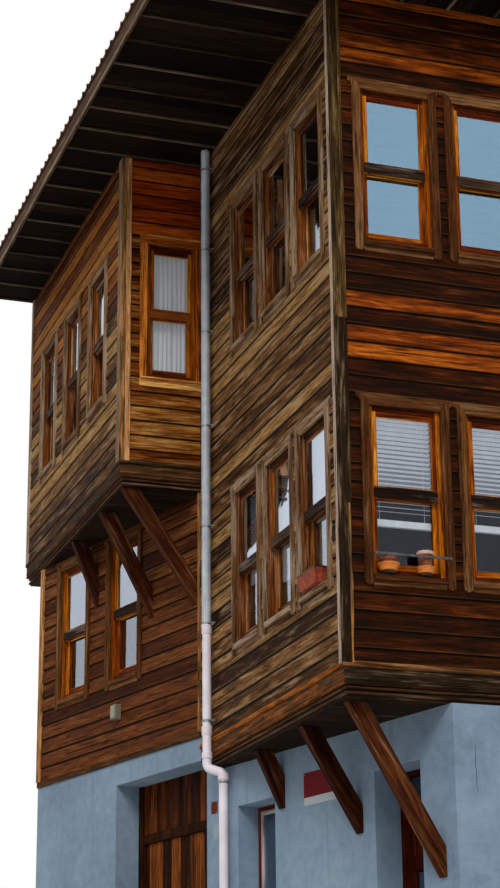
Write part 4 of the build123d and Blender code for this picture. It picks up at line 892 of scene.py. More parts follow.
# The roof: a boarded deck with a hip in front and a rendered gable at the party wall, under
# pressed clay tiles laid on battens, one roll to a tile, with half-round caps on ridge and hips.
ROOF_EDGE_LEVEL = 10.42
PITCH = radians(22)
fall = tan(PITCH)
DECK_FOOT = 10.362
deck_points, deck_faces = [], []
for inset, drop, end in ((0.030, 0.066, EAVE_Y - 0.012), (0.42, 0.190, 4.632)):  # outside, inside
    half, front = EAVE_X - inset, -EAVE_Y + inset
    edge = ROOF_EDGE_LEVEL + inset * fall - drop
    outline = [(-half, end), (-half, front), (half, front), (half, end)]
    n = len(deck_points)
    deck_points += [point for ring in swept(outline, 2, DECK_FOOT, edge) for point in ring]
    deck_points += [(0, front + half, edge + half * fall), (0, end, edge + half * fall)]
    faces = [(0, 1, 5, 4), (1, 2, 6, 5), (2, 3, 7, 6), (4, 5, 8, 9), (5, 6, 8), (6, 7, 9, 8), (3, 0, 4, 9, 7)]
    deck_faces += [tuple(n + i for i in (corners if n == 0 else corners[::-1])) for corners in faces]
deck_faces += [(i, 10 + i, 10 + (i + 1) % 4, (i + 1) % 4) for i in range(4)]
deck_mesh = bpy.data.meshes.new("roof_deck")
deck_mesh.from_pydata(deck_points, [], deck_faces)
deck = put("roof_deck", deck_mesh)
deck_mesh.materials.append(timber("roof_deck_boards", "#3a2c1f #4d3c2b #5f4c38", 0.1, turn=(0, 0, 90)))
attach(deck, "house")
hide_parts("roof")

gable_render = mottled(
    "rough_cement_render", 0.95, [(0.3, "#6f6c66"), (0.7, "#98948c")],
    {"Scale": 3, "Detail": 7, "Roughness": 0.6},
    {"Scale": 160, "Detail": 2}, 0.4, 0.003,  # 6 mm grit, coarser than the sand itself
)
gable = Stack()
GABLE_X, GABLE_EDGE = 3.895, 10.366
outline = [(-GABLE_X, DECK_FOOT), (GABLE_X, DECK_FOOT), (GABLE_X, GABLE_EDGE)]
outline += [(0, GABLE_EDGE + GABLE_X * fall), (-GABLE_X, GABLE_EDGE)]
gable.piece(HOUSE_PLAN, swept(outline, 1, EAVE_Y - 0.012, EAVE_Y), 1)
gable.build("gable_render", gable_render, "plaster")

clay, tree = finish("pressed_clay_tile", 0.85)
place = node(tree, "TexCoord").outputs["Object"]
tone = node(tree, "Attribute", attribute_name="tone").outputs["Fac"]
fired_tints = [(0.0, "#6e3a24"), (0.35, "#8a4a2e"), (0.7, "#9c5c3a"), (1.0, "#7d5443")]
fired = node(tree, "ValToRGB", tone, stops=fired_tints)
soot = node(tree, "TexNoise", place, Scale=1.3, Detail=6, Roughness=0.65)
soot_share = node(tree, "MapRange", soot, 0.48, 0.7, 0, 0.75)
sooty = node(tree, "Mix", soot_share, fired, "#3b2c25", data_type="RGBA")
lichen = node(tree, "TexVoronoi", place, Scale=24)  # spots up to 22 mm across
spots = node(tree, "MapRange", lichen, 0.26, 0.16)
where = node(tree, "MapRange", node(tree, "TexNoise", place, Scale=2.1, Detail=2), 0.52, 0.62, 0, 0.8)
spotted = node(tree, "Math", spots, where, operation="MULTIPLY")
lichened = node(tree, "Mix", spotted, sooty, "#a3a184", data_type="RGBA")
grog = node(tree, "TexNoise", place, Scale=120, Detail=3)  # 8 mm, coarser than the clay's own grain
dress(tree, lichened, grog, 0.3, 0.002)

TILE_WIDTH, TILE_COVER = 0.203, 0.2018
COURSES = 13
SLOPE = EAVE_X / cos(PITCH)
GAUGE = SLOPE / COURSES
roll_at = (0.000, 0.012, 0.030, 0.095, 0.118, 0.134, 0.152, 0.172, 0.190, 0.203)
tile_top = [(x, millimetres / 1000) for x, millimetres in zip(roll_at, (6, 2, 0, 0, 4, 16, 26, 26, 16, 5))]
tile_outline = tile_top + [(x, height - 0.012) for x, height in reversed(tile_top)]
for name, start, end, hips in (
    ("roof_tiles_left", (-EAVE_X, EAVE_Y), (-EAVE_X, -EAVE_Y), (0, 1)),
    ("roof_tiles_front", (-EAVE_X, -EAVE_Y), (EAVE_X, -EAVE_Y), (1, 1)),
    ("roof_tiles_right", (EAVE_X, -EAVE_Y), (EAVE_X, EAVE_Y), (1, 0)),
):
    slope = face(start, end, ROOF_EDGE_LEVEL) @ Matrix.Rotation(PITCH - pi / 2, 4, "X")
    run = dist(start, end)
    tiles = Stack()
    for course in range(COURSES):
        low = 0.014 + course * GAUGE
        high = min(low + GAUGE + 0.055, SLOPE - 0.004)
        from_x, to_x = hips[0] * low * cos(PITCH), run - hips[1] * low * cos(PITCH)
        for i in range(int(from_x / TILE_COVER), ceil(to_x / TILE_COVER)):
            x0 = i * TILE_COVER if i * TILE_COVER + TILE_WIDTH <= run + 0.003 else run - TILE_WIDTH
            slip, lift = vary(-0.004, 0.004), vary(-0.0015, 0.0015)
            rings = []
            for y, height in ((low + max(slip, 0), -0.029 + lift), (high, -0.045)):
                rings += swept([(x0 + x, height + z) for x, z in tile_outline], 1, y)
            tiles.piece(slope, rings, 1, (x0, low, 0), workshop.random())
    laid = tiles.build(name, clay, "roof_tiles")
    # tiles at a hip are cut along it
    cut = bmesh.new()
    cut.from_mesh(laid.data)
    for corner, inward, is_hip in ((start, 1, hips[0]), (end, -1, hips[1])):
        if is_hip:
            along = (Vector(end) - Vector(start)).normalized() * inward
            uphill = Vector((-corner[0] / EAVE_X, 0)) if abs(along.y) > 0.5 else Vector((0, 1))
            bmesh.ops.bisect_plane(
                cut, geom=cut.verts[:] + cut.edges[:] + cut.faces[:], plane_co=(*corner, ROOF_EDGE_LEVEL),
                plane_no=(*(uphill - along), 0), clear_outer=True,
            )
    cut.to_mesh(laid.data)
    cut.free()

RIDGE_LEVEL, RIDGE_LENGTH = 12.004, 5.76
CAP_GAUGE, CAP_LENGTH, CAP_THICK = 0.36, 0.40, 0.012
CAP_FLAT = 0.92  # a cap is a little lower than a half-round
caps = Stack()
hip_length = sqrt(2 * EAVE_X**2 + (EAVE_X * fall) ** 2)
cap_rows = [(face((0, EAVE_Y), (0, -EAVE_Y), RIDGE_LEVEL), RIDGE_LENGTH, 0)]
for sign in (-1, 1):
    foot = Vector((sign * EAVE_X, -EAVE_Y, ROOF_EDGE_LEVEL))
    up_hip = (Vector((0, -EAVE_Y + EAVE_X, ROOF_EDGE_LEVEL + EAVE_X * fall)) - foot).normalized()
    level_side = Vector((up_hip.y, -up_hip.x, 0)).normalized()
    over = level_side.cross(up_hip)
    over = over if over.z > 0 else -over
    hip_place = moved(foot) @ Matrix((up_hip, over, level_side)).transposed().to_4x4()
    cap_rows.append((hip_place, hip_length - 0.16, 0.115))
bend = [pi * (0.04 + 0.92 * k / 10) for k in range(11)]
for line, run, first in cap_rows:
    count = round((run - first) / CAP_GAUGE)
    for i in range(count):
        x0 = first + (run - first) * i / count
        rings = []
        x1 = min(x0 + CAP_LENGTH, run)
        for x, radius, drop in ((x0, 0.112, 0.0), (x0 + 0.03, 0.112, 0.0), (x1, 0.100, 0.013)):
            bore, top = radius - CAP_THICK, radius * CAP_FLAT
            outer = [(radius * (sin(a) - 1) * CAP_FLAT - drop, radius * cos(a)) for a in bend]
            inner = [(bore * sin(a) * CAP_FLAT - top - drop, bore * cos(a)) for a in bend]
            rings += swept(outer + inner[::-1], 0, x)
        caps.piece(line, rings, 0, (x0, 0, 0), workshop.random())
caps.build("ridge_and_hip_caps", clay, "roof_tiles")

# Rainwater pipe: soldered zinc lengths above and grey-white plastic below, with sockets and two elbows.
# Clips hold it to square pins in the wall, which stand out to its right.
PIPE_RADIUS = 0.050
SOCKET = PIPE_RADIUS + 0.006
BORE = PIPE_RADIUS - 0.002
ZINC_FOOT = 4.466
PIPE_SIDES = 28
PIPE_X, PIPE_Y = -2.279, -0.248
ELBOW_RADIUS, ELBOW_DROP, ELBOW_TURN = 0.062, 0.075, 0.86
up = Vector((0, 0, 1))
upper_axis, lower_axis = Vector((PIPE_X, PIPE_Y, 0)), Vector((-2.1395, -0.3755, 0))
at_upper, at_lower = moved(upper_axis), moved(lower_axis)
zinc_pipe, plastic_pipe, clips = stacks(3)


def lathe(stack, place, outline, sides=PIPE_SIDES):
    """A turned form: radius and level for each ring, from one end to the other."""
    turns = [tau * i / sides for i in range(sides)]
    rings = [[(r * cos(a), r * sin(a), level) for a in turns] for r, level in outline]
    stack.piece(place, rings, 2)


levels = [SOFFIT, 8.83, 6.72, ZINC_FOOT]
for top, bottom in zip(levels, levels[1:]):
    swelled, plain = PIPE_RADIUS + 0.0015, PIPE_RADIUS - 0.001
    lathe(zinc_pipe, at_upper, [(swelled, top), (swelled, top - 0.05), (plain, top - 0.054), (plain, bottom)])
    seam = (-PIPE_RADIUS + 0.003, 0.010, top)  # folded
    zinc_pipe.bar(at_upper, (-PIPE_RADIUS - 0.002, 0.004, bottom), seam, 2)
lathe(plastic_pipe, at_upper, [(BORE, 3.02), (BORE, ZINC_FOOT)])
for top, height in ((ZINC_FOOT + 0.01, 0.11), (3.36, 0.10)):
    ribs = [(PIPE_RADIUS, top), (SOCKET + 0.003, top), (SOCKET + 0.003, top - 0.018), (SOCKET, top - 0.022)]
    lathe(plastic_pipe, at_upper, [*ribs, (SOCKET, top - height + 0.012), (BORE, top - height)])

# the two elbows are one bent run
across = (lower_axis - upper_axis).normalized()
upper_bend, lower_bend = [], []
for a in (pi / 2 * i / 8 * ELBOW_TURN for i in range(9)):
    out, drop = across * ELBOW_RADIUS * (1 - cos(a)), ELBOW_DROP * sin(a)
    upper_bend.append((upper_axis + out + up * (2.975 - drop), a))
    lower_bend.append((lower_axis - out + up * (2.795 + drop), a))
elbows = [(upper_axis + up * 3.06, 0.0), *upper_bend, *reversed(lower_bend), (lower_axis + up * 2.72, 0.0)]
level_side = up.cross(across)
rings = []
for middle, a in elbows:
    lean = level_side.cross(across * sin(a) - up * cos(a))
    turns = [tau * i / PIPE_SIDES for i in range(PIPE_SIDES)]
    rings.append([middle + (level_side * cos(t) + lean * sin(t)) * PIPE_RADIUS for t in turns])
plastic_pipe.piece(HOUSE_PLAN, rings, 2)
for place, level in ((at_upper, 3.03), (at_lower, 2.79)):
    collar = [(PIPE_RADIUS, level + 0.06), (SOCKET, level + 0.055), (SOCKET, level + 0.012)]
    collar += [(SOCKET + 0.003, level + 0.008), (SOCKET + 0.003, level - 0.008), (PIPE_RADIUS, level - 0.012)]
    lathe(plastic_pipe, place, collar)
lathe(plastic_pipe, at_lower, [(0.045, 0.450), (0.045, 0.150), (BORE, 0.150), (BORE, 2.75)])

band = [(PIPE_RADIUS + r, z) for r, z in ((-0.001, -0.012), (0.004, -0.012), (0.004, 0.012), (-0.001, 0.012))]
for level in (3.422, 4.492, 5.587, 6.762, 7.892, 8.912, 9.932):
    pin_end = (-BAY_X + 0.015, PIPE_Y + 0.011, level + 0.010)
    clips.bar(HOUSE_PLAN, (PIPE_X, PIPE_Y - 0.011, level - 0.010), pin_end)
    lathe(clips, at_upper @ moved((0, 0, level)), band)
    ear = (PIPE_X + 0.017, PIPE_Y - 0.075, level - 0.011), (PIPE_X + 0.020, PIPE_Y, level + 0.011)
    for _ in range(2):  # both its ears, in one place: they read as a single 3 mm plate
        clips.bar(HOUSE_PLAN, *ear, 1)
    bolt = moved((PIPE_X, PIPE_Y - 0.070, level)) @ Matrix.Rotation(pi / 2, 4, "Y")
    lathe(clips, bolt, [(0.008, -0.01), (0.008, 0.09)], 10)
street_line = face(corner_a, street_corner)
for level in (0.812, 2.752):
    lathe(clips, at_lower @ moved((0, 0, level)), band)
    clips.bar(street_line, (0.563, level - 0.010, 0.0), (0.583, level + 0.010, 0.094), 2)


def drawn_metal(name, tints, roughness, metallic):
    """Metal sheet or bar that has dulled outdoors: cloudy, streaked downwards, with fine scratches."""
    material, tree = finish(name, roughness, Metallic=metallic)
    place = node(tree, "TexCoord").outputs["Object"]
    cloud = node(tree, "TexNoise", place, Scale=5, Detail=6, Roughness=0.65)
    streak = node(tree, "TexNoise", node(tree, "Mapping", place, Scale=(45, 45, 1.2)), Scale=1, Detail=3)
    tint = node(tree, "ValToRGB", node(tree, "Mix", 0.4, cloud, streak), stops=spread(tints, 0.34, 0.32))
    dull = node(tree, "MapRange", cloud, 0.35, 0.65, roughness - 0.12, roughness + 0.1)
    dress(tree, tint, node(tree, "TexNoise", place, Scale=90, Detail=3), 0.15, 0.001, dull)
    return material


dull_zinc = drawn_metal("dull_zinc_sheet", "#98a0a8 #b0b6bc #cbcdd2", 0.5, 0.1)
clip_metal = drawn_metal("galvanised_clip_metal", "#5d5f60 #8c8e8e #b9bab8", 0.45, 0.4)
moulded_plastic = mottled(
    "weathered_grey_plastic", 0.42, [(0.35, "#dbd1d8"), (0.6, "#ece2e9"), (0.75, "#f2eaf0")],
    {"Scale": 4, "Detail": 5}, {"Scale": 140, "Detail": 2}, 0.06, 0.001,  # 7 mm ripple of the extrusion
)


def soften(made, degrees):
    """Shades a turned form smooth, but for the edges sharper than an angle."""
    made.data.shade_smooth()
    made.data.set_sharp_from_angle(angle=radians(degrees))


zinc_lengths = zinc_pipe.build("downpipe_zinc", dull_zinc, "pipe", instead_of="downpipe")
plastic_lengths = plastic_pipe.build("downpipe_plastic", moulded_plastic, "pipe")
clips.build("downpipe_clips", clip_metal, "pipe", arris=0.001)
soften(zinc_lengths, 35)
soften(plastic_lengths, 35)

# Front door: a framed leaf of red mahogany with a glazed middle and a raised panel above and below,
# hung in a plain frame under a transom light. It opens inwards on lift-off hinges.
STREET_LENGTH = 8.2893
LEAF_FACE = -0.336
MARGIN = 0.040
mahogany = timber(
    "oiled_mahogany", "#1c0803 #300e05 #481608 #642612",
    0.05, "#7a5040", "#140502", turn=(0, 90, 0), gloss=0.45, knots=0.1,
)
raised_mahogany = timber(
    "mahogany_mouldings", "#280c05 #401408 #58200e", 0.05, "#7a5040", "#140502", gloss=0.42, knots=0.1
)
cover("door_frame door_leaf", mahogany)
door_face = street_face @ moved((STREET_LENGTH, 0, 0)) @ Matrix.Diagonal((-1, 1, 1, 1))
mouldings = Stack()
x0, x1 = 0.659, 1.095
for y0, y1, raised in ((0.890, 1.560, False), (0.308, 0.780, True), (1.670, 1.940, True)):
    sunk = LEAF_FACE - (0.014 if raised else 0.018)
    rounded = [(w, LEAF_FACE + z) for w, z in ((0.0, 0.007), (0.008, 0.009), (0.016, 0.002))]
    ovolo = [(0.0, sunk), *rounded, (0.024, sunk)]
    for a, inwards in ((x0, 1), (x1, -1)):
        rings = [[(a + inwards * w, y + t * w, z) for w, z in ovolo] for y, t in ((y0, 1), (y1, -1))]
        mouldings.piece(door_face, rings, 1, (a, y0, 0), 0.6)
    for a, inwards in ((y0, 1), (y1, -1)):
        rings = [[(x + t * w, a + inwards * w, z) for w, z in ovolo] for x, t in ((x0, 1), (x1, -1))]
        mouldings.piece(door_face, rings, 0, (x0, a, 0), 0.4)
    if raised:
        rings = []
        for inner, z in ((MARGIN, sunk - 0.001), (MARGIN, sunk + 0.003), (MARGIN + 0.034, sunk + 0.013)):
            a0, a1, b0, b1 = x0 + inner, x1 - inner, y0 + inner, y1 - inner
            rings += swept([(a0, b0), (a1, b0), (a1, b1), (a0, b1)], 2, z)
        mouldings.piece(door_face, rings, 1, (x0, y0, 0), 0.5)
mouldings.build("door_mouldings", raised_mahogany, "door_timber", "front_door", 0.0015)
door_iron = Stack()
knob = [(0.026, 0), (0.026, 0.004), (0.009, 0.006), (0.009, 0.030), (0.021, 0.036), (0.024, 0.046)]
lathe(door_iron, door_face @ moved((0.612, 1.02, LEAF_FACE)), [*knob, (0.017, 0.055), (0.004, 0.058)])
door_iron.bar(door_face, (0.600, 0.90, LEAF_FACE), (0.624, 0.962, LEAF_FACE + 0.003), 1)
aged_iron = drawn_metal("aged_iron", "#1b1816 #2c2824 #453b33", 0.55, 0.6)
door_iron.build("door_knob_and_keyhole_plate", aged_iron, "door_timber", "front_door")

# Gate: two ledged leaves of narrow vertical boards, oiled orange-brown, between posts,
# with a boarded panel over the transom. Both leaves open inwards.
gate_timber = timber(
    "oiled_gate_boards", "#1a0b03 #301506 #4a2009 #64300d #7e4218", 0.1, stain="#0c0502", gloss=0.6
)
post_timber = timber("oiled_gate_posts", "#150a04 #2a1508 #45230d", 0.1, stain="#0a0502", turn=(0, 90, 0))
cover("gate_frame gate_leaf_right gate_leaf_left", post_timber)
LEAF_BOARDS = 9
PANEL_BOARD = 0.0957
for side, first, last in (("right", 4.400, 5.281), ("left", 5.297, 6.180)):
    leaf_boards = Stack()
    for i in range(LEAF_BOARDS):
        x0 = first + (last - first) * i / LEAF_BOARDS + 0.0015
        x1 = first + (last - first) * (i + 1) / LEAF_BOARDS - 0.0015
        worn = [(x0, 0.003), (x0 + 0.003, 0.006), (x1 - 0.003, 0.006), (x1, 0.003)]
        section = [(x, LEAF_FACE + z) for x, z in ((x0, -0.001), *worn, (x1, -0.001))]
        leaf_boards.piece(door_face, swept(section, 1, 0.112, 2.406), 1, (x0, 0.112, 0))
    leaf_boards.build("gate_boards_" + side, gate_timber, "door_timber", "gate_" + side)
over_gate = Stack()
for i in range(19):
    x0, x1 = 4.380 + PANEL_BOARD * i, 4.380 + PANEL_BOARD * (i + 1) - 0.003
    over_gate.bar(door_face, (x0, 2.520, -0.329), (x1, 3.084, -0.322), 1)
over_gate.build("panel_boards_over_gate", gate_timber, "door_timber", arris=0.002)
gate_iron = Stack()
knob = [(0.030, 0), (0.030, 0.003), (0.010, 0.006), (0.010, 0.022), (0.016, 0.028), (0.016, 0.036)]
lathe(gate_iron, door_face @ moved((5.225, 1.15, LEAF_FACE + 0.005)), [*knob, (0.005, 0.040)])
gate_iron.build("gate_knob", aged_iron, "door_timber", "gate_right")

# Ground-floor windows: a red-brown frame near the inner side of the reveal, round one white casement.
# Both are planed softwood, joined at the corners and painted, and the frame is nailed to the reveal.
ground_side_face = face(street_corner, corner_d)
GROUND_WIDTH, GROUND_HEIGHT, GROUND_SILL = 0.706, 1.090, 1.40
ground_frames, casements = stacks(2)
for wall, left in (
    (street_face, STREET_LENGTH - 3.668), (ground_side_face, 1.150), (ground_side_face, 2.750),
    (back_face, 1.700), (back_face, 5.700),
):
    place = wall @ moved((left, GROUND_SILL, 0))
    for stack, inner, member, front, back in (
        (ground_frames, 0.0, 0.045, -0.250, -0.300),
        (casements, 0.047, 0.040, -0.256, -0.296),
    ):
        x0, x1, y0, y1 = inner, GROUND_WIDTH - inner, inner, GROUND_HEIGHT - inner
        for a, b in ((x0, x0 + member), (x1 - member, x1)):
            stack.bar(place, (a, y0, back), (b, y1, front), 1)
        for a, b in ((y0, y0 + member), (y1 - member, y1)):
            stack.bar(place, (x0 + member, a, back), (x1 - member, b, front - 0.001))
red_frame_timber = timber(
    "red_brown_frame_timber", "#3a140a #55200f #6e2f18", 0.1, stain="#1c0a05", gloss=0.5, knots=0.1
)
white_paint = timber(
    "white_painted_timber", "#a79ca0 #b9aeb2 #c8bdc2", 0.05, "#8d8586", "#958a8e", gloss=0.5, knots=0.0
)
ground_frames.build(
    "ground_frames", red_frame_timber, "window_timber", arris=0.002, instead_of="ground_window_frames"
)
casements.build("ground_casements", white_paint, "window_timber", arris=0.002)

# Plates on the street wall: pressed steel with a vitreous enamel face, bare. The long pair, red over a
# white strip, and the square red-brown one are on four screws; the oval one is a pale ring.


def enamel(name, hex_colour, chipped):
    """Vitreous enamel: glossy and slightly wavy, with a few chips down to another colour."""
    material, tree = finish(name, 0.3, Specular_IOR_Level=0.03)
    place = node(tree, "TexCoord").outputs["Object"]
    chips = node(tree, "TexNoise", place, Scale=34, Detail=5, Roughness=0.7)
    worn = node(tree, "Mix", node(tree, "MapRange", chips, 0.66, 0.70), hex_colour, chipped, data_type="RGBA")
    dress(tree, worn, node(tree, "TexNoise", place, Scale=22, Detail=2), 0.1, 0.002)
    return material


def plate(stack, place, half_width, half_height, corner, front, back=0.0, roll=0.002):
    """A plate with rounded corners and a rolled edge, centred on a place on the wall."""
    rings = []
    for inset, z in ((0, back), (0, front - roll), (roll, front)):
        ring = []
        for a in (tau * (i + 0.5) / 24 for i in range(24)):
            cx = copysign(half_width - corner, cos(a))
            cy = copysign(half_height - corner, sin(a))
            ring.append((cx + (corner - inset) * cos(a), cy + (corner - inset) * sin(a), z))
        rings.append(ring)
    stack.piece(place, rings)


def on_street(along, level, out=0.0):
    """A place on the street wall's face, measured from the corner under the right bay."""
    return street_face @ moved((STREET_LENGTH - along, level, out))


red_field, white_field, number_field, oval_ring, screws = stacks(5)
plate(red_field, on_street(2.138, 2.521), 0.2915, 0.124, 0.010, 0.006)
plate(white_field, on_street(2.138, 2.357), 0.2915, 0.040, 0.010, 0.005)
plate(number_field, on_street(4.135, 2.538), 0.061, 0.064, 0.008, 0.006)
plate(oval_ring, on_street(4.089, 2.279), 0.0675, 0.085, 0.066, 0.004)
plate(oval_ring, on_street(4.089, 2.279, 0.003), 0.050, 0.068, 0.049, 0.003)
for along, level, dx, dy in ((2.138, 2.481, 0.272, 0.145), (4.135, 2.538, 0.048, 0.051)):
    for x, y in ((along + sx * dx, level + sy * dy) for sx in (-1, 1) for sy in (-1, 1)):
        lathe(screws, on_street(x, y), [(0.005, 0.004), (0.005, 0.0065), (0.002, 0.0075)], 10)
red_enamel = enamel("red_enamel", "#6a0a10", "#3a1a10")
red_field.build("street_plate_red", red_enamel, "plate_enamel", instead_of="wall_plates")
white_field.build("street_plate_strip", enamel("white_enamel", "#b8bcc0", "#6e5a48"), "plate_enamel")
number_field.build("number_plate", enamel("red_brown_enamel", "#5e2214", "#2c1a12"), "plate_enamel")
oval_ring.build("oval_plate", enamel("pale_enamel", "#93a0a3", "#4c5250"), "plate_enamel")
screws.build("plate_screws", clip_metal, "plate_enamel")

# Lamp: a small moulded box of yellowed plastic with a frosted cover clipped on its front.
# It is screwed to the boards beside the gate window. Box and cover are coloured duller and darker than
# the plastic, partly its yellowing and partly painted shade.
lamp_box, lamp_cover = stacks(2)
at_lamp = on_street(6.230, 3.930)
plate(lamp_box, at_lamp, 0.060, 0.090, 0.012, 0.098, 0.020, 0.010)
plate(lamp_cover, at_lamp, 0.045, 0.072, 0.010, 0.106, 0.097, 0.004)
lamp_box.build("wall_lamp_box", enamel("yellowed_plastic", "#77735c", "#5d5947"), "pipe")
lamp_cover.build("wall_lamp_cover", enamel("frosted_cover", "#9a9a88", "#86866f"), "pipe")

# Guard: a flat galvanised steel bar, bent round in front of the first window.
# It is screwed to the casings and has gone dull and dark.
cover("window_guard", drawn_metal("galvanised_steel_strip", "#2e2b29 #454240 #6a6764", 0.5, 0.5))

# Pots: thrown terracotta with a rolled rim, each in a wider orange dish on a saucer, and a trough
# on the side wall's nearest sill. They are filled with earth.


def terracotta(name, tints, roughness=0.8):
    """Unglazed fired clay or earth: fine-grained, with darker damp patches and paler dry ones."""
    cloud = {"Scale": 16, "Detail": 6, "Roughness": 0.62}
    grain = {"Scale": 260, "Detail": 3}  # 4 mm, as coarse as shows
    return mottled(name, roughness, spread(tints, 0.34, 0.34), cloud, grain, 0.3, 0.001)


pot_bodies, rims, dishes, saucers, earth, trough, holder = stacks(7)
for x, top, foot, height, dish_top, dish_foot, dish_height in (
    (-1.743, 0.083, 0.065, 0.150, 0.109, 0.080, 0.088),
    (-1.371, 0.080, 0.056, 0.232, 0.092, 0.074, 0.080),
):
    place = moved((x, -4.082, SILL_FIRST))
    body, bed, edge = top - 0.008, height - 0.034, top - 0.012
    lathe(saucers, place, [(0.056, 0), (0.060, 0.004), (0.060, 0.020), (0.056, 0.022)])
    dish = [(dish_foot, 0.022), (dish_top - 0.004, dish_height - 0.010), (dish_top, dish_height - 0.006)]
    dish += [(dish_top, dish_height), (dish_top - 0.007, dish_height), (dish_foot - 0.006, 0.034)]
    lathe(dishes, place, dish, 40)
    lathe(pot_bodies, place, [(foot, 0.034), (body, bed), (body, height - 0.028)], 40)
    rim = [(body, bed), (top - 0.002, bed), (top, height - 0.030), (top, height - 0.005)]
    rim += [(top - 0.004, height), (top - 0.009, height), (top - 0.013, bed)]
    lathe(rims if height > 0.2 else pot_bodies, place, rim, 40)
    fill = [(edge, height - 0.032), (edge, height - 0.022), (0.035, height - 0.018), (0.004, height - 0.016)]
    lathe(earth, place, fill, 40)
trough_at = moved((-2.219, -3.382, SILL_FIRST))


def box_rings(*sizes):
    """Rings of a four-sided vessel, each given by half its width, half its length and its level."""
    return [[(x, y, level), (-x, y, level), (-x, -y, level), (x, -y, level)] for x, y, level in sizes]


outside = ((0.062, 0.212, 0.0), (0.080, 0.231, 0.138), (0.0825, 0.235, 0.140), (0.0825, 0.235, 0.160))
trough.piece(trough_at, box_rings(*outside, (0.0735, 0.226, 0.160), (0.0725, 0.225, 0.138)), 2)
earth.piece(trough_at, box_rings((0.074, 0.226, 0.130), (0.074, 0.226, 0.139)), 2)
holder.bar(trough_at, (-0.0845, -0.237, 0.146), (-0.082, 0.237, 0.160), 1)
for y in (-0.237, 0.2345):
    holder.bar(trough_at, (-0.0845, y, 0.146), (0.034, y + 0.0025, 0.160))
weathered_clay = terracotta("weathered_terracotta", "#5a2a14 #7c3f20 #985433")
pale_clay = terracotta("pale_terracotta", "#b98a78 #cfa594 #d9b5a6")
# The dishes' bright orange is partly their clay and partly painted sunlight.
orange_clay_painted_sun = terracotta("bright_orange_clay", "#c4631b #de7a24 #e8862a", 0.5)
dark_clay = terracotta("dark_clay", "#2c1a12 #3a2419 #4a3124")
soften(pot_bodies.build("pot_bodies", weathered_clay, "terracotta", instead_of="flower_pots"), 40)
soften(rims.build("pale_pot_rim", pale_clay, "terracotta"), 40)
soften(dishes.build("pot_dishes", orange_clay_painted_sun, "terracotta"), 40)
soften(saucers.build("pot_saucers", dark_clay, "terracotta"), 40)
red_clay = terracotta("red_brown_clay", "#6a1e04 #8c3408 #ac4e16")
trough.build("window_trough", red_clay, "terracotta", arris=0.004)
holder.build("trough_holder", aged_iron, "terracotta")
earth.build("potting_earth", terracotta("potting_earth", "#1d130d #2c1f16 #3d2d21", 0.95), "terracotta")

# Blinds: white painted slats on cords, let down over the upper sash and part of the lower one.
# They glow a little by emission, painted light standing in for daylight coming back between the slats.
SLAT_GAUGE, SLAT_HALF, TOP_SLAT, SLAT_AXIS = 0.046, 0.025, 1.575, -0.158
slats, blind_rails = stacks(2)
for left, width, sill in FRONT_WINDOWS[:5]:
    place = front_face @ moved((left, sill, 0))
    drop = 0.555 + vary(-0.03, 0.03)
    for i in range(int((TOP_SLAT - drop - 0.05) / SLAT_GAUGE)):
        y = TOP_SLAT - SLAT_GAUGE * i
        tilt = 0.85 * (y - drop) - 0.35 + vary(-0.03, 0.03)  # nearly shut at the top
        dy, dz = SLAT_HALF * sin(tilt), SLAT_HALF * cos(tilt)
        front, back = SLAT_AXIS + dz, SLAT_AXIS - dz
        section = [(y + dy, front), (y + 0.003, SLAT_AXIS), (y - dy, back)]
        section += [(y - dy - 0.001, back), (y + 0.002, SLAT_AXIS), (y + dy - 0.001, front)]
        slats.piece(place, swept(section, 0, 0.056, width - 0.056))
    blind_rails.bar(place, (0.054, drop - 0.035, -0.176), (width - 0.054, drop + 0.030, -0.134))
    blind_rails.bar(place, (0.052, 1.590, -0.182), (width - 0.052, 1.625, -0.134))
    for x in (0.14, width - 0.14):
        blind_rails.bar(place, (x - 0.001, drop, -0.131), (x + 0.001, 1.60, -0.129), 1)
glowing_blind_paint = mottled(
    "white_blind_enamel", 0.4, [(0.35, "#dcdae0"), (0.65, "#f2f0f4")], {"Scale": 9, "Detail": 3},
    Emission_Color="#d4d4e0", Emission_Strength=0.2,
)
slats.build("blind_slats", glowing_blind_paint, "window_timber")
blind_rails.build("blind_rails", glowing_blind_paint, "window_timber")

# Net curtains: thin woven cotton, gathered at the head and hung behind the panes.
# They glow a little by emission, painted light standing in for daylight from the room behind.
glowing_net, tree = finish("cotton_net", 0.95, Sheen_Weight=0.2, Emission_Color="#d8d4d8", Emission_Strength=0.14)
place = node(tree, "TexCoord").outputs["UV"]
warp, weft = (  # 5 mm apart, coarser than the net
    node(tree, "TexWave", place, Scale=60, Distortion=0.4, bands_direction=way).outputs[1] for way in "XY"
)
threads = node(tree, "Math", warp, weft, operation="ADD")
weave = node(tree, "MapRange", threads, 0, 2.0)
dress(tree, node(tree, "Mix", weave, "#e0dcdf", "#faf7f9", data_type="RGBA"), threads, 0.2, 0.0006)


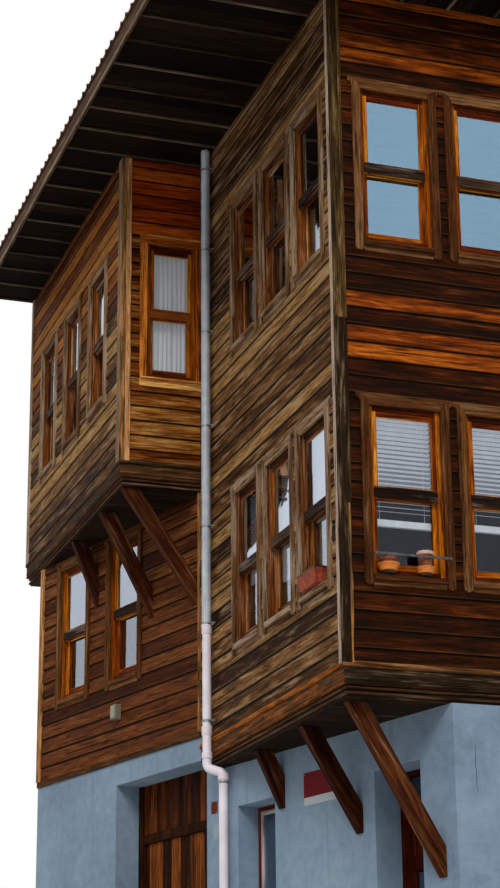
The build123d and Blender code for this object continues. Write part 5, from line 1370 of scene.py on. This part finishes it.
def net_curtain(name, wall, left, sill, x1, bottom, folds, deep):
    """A gathered curtain behind a window, with folds that wander a little as they fall."""
    x0, top = 0.05, 1.60
    across, down = folds * 10, 14
    phases = [vary(-0.5, 0.5) for k in range(folds + 2)]
    points = []
    for v in (j / down for j in range(down + 1)):
        row = []
        for u in (i / across for i in range(across + 1)):
            k = u * folds
            wander = phases[int(k)] * (1 - k % 1) + phases[int(k) + 1] * (k % 1)
            x = x0 + (x1 - x0) * u + 0.006 * sin(5 * v + wander * 4) * sin(pi * u)
            z = -0.142 + deep * (0.7 + 0.3 * v) * sin(tau * k + wander * (0.6 + v))
            row.append(Vector((x, top + (bottom - top) * v, z)))
        points.append(row)
    width = max(sum((b - a).length for a, b in zip(row, row[1:])) for row in points)
    mesh = bpy.data.meshes.new(name)
    n = across + 1
    firsts = [j * n + i for j in range(down) for i in range(across)]
    corners = [(first, first + 1, first + n + 1, first + n) for first in firsts]
    mesh.from_pydata([point for row in points for point in row], [], corners)
    uv = mesh.uv_layers.new(name="cloth")
    for loop in mesh.loops:
        row, column = divmod(loop.vertex_index, n)
        uv.data[loop.index].uv = (column / across * width, row / down * (top - bottom))
    mesh.materials.append(glowing_net)
    mesh.transform(wall @ moved((left, sill, 0)))
    mesh.shade_smooth()
    curtain = put(name, mesh)
    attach(curtain, "house")


net_curtain("net_left_bay_front", bay_front_face, 0.282, SILL_SECOND, 0.543, 0.03, 9, 0.016)
for i, (left, width, sill) in enumerate(BAY_SIDE_WINDOWS):
    net_curtain(f"net_left_bay_side_{i + 1}", bay_side_face, left, sill, 0.63, 0.03, 10, 0.016)
for i, (left, width, sill) in enumerate(SIDE_WINDOWS[:3]):
    net_curtain(f"net_right_bay_side_{i + 1}", side_face, left, sill, 0.69, (0.62, 0.40, 0.74)[i], 9, 0.014)

# Crack: the plaster has split for 0.45 m, high on the wall under the right bay's front.
# It is 0.2 m from the corner, up to 6 mm wide, and shown as a thin dark strip laid on the plaster.
crack = Stack()
rings = []
for k in range(15):
    x = 0.211 + vary(-0.005, 0.005)
    half = 0.0012 + 0.0016 * sin(pi * k / 14)
    section = [(x - half, 0), (x - half, 0.0008), (x + half, 0.0008), (x + half, 0)]
    rings += swept(section, 1, 2.125 + 0.445 * k / 14)
crack.piece(ground_side_face, rings, 1)
crack.build("plaster_crack", terracotta("dust_in_the_crack", "#14110f #221d19 #332c26", 0.95), "plaster")
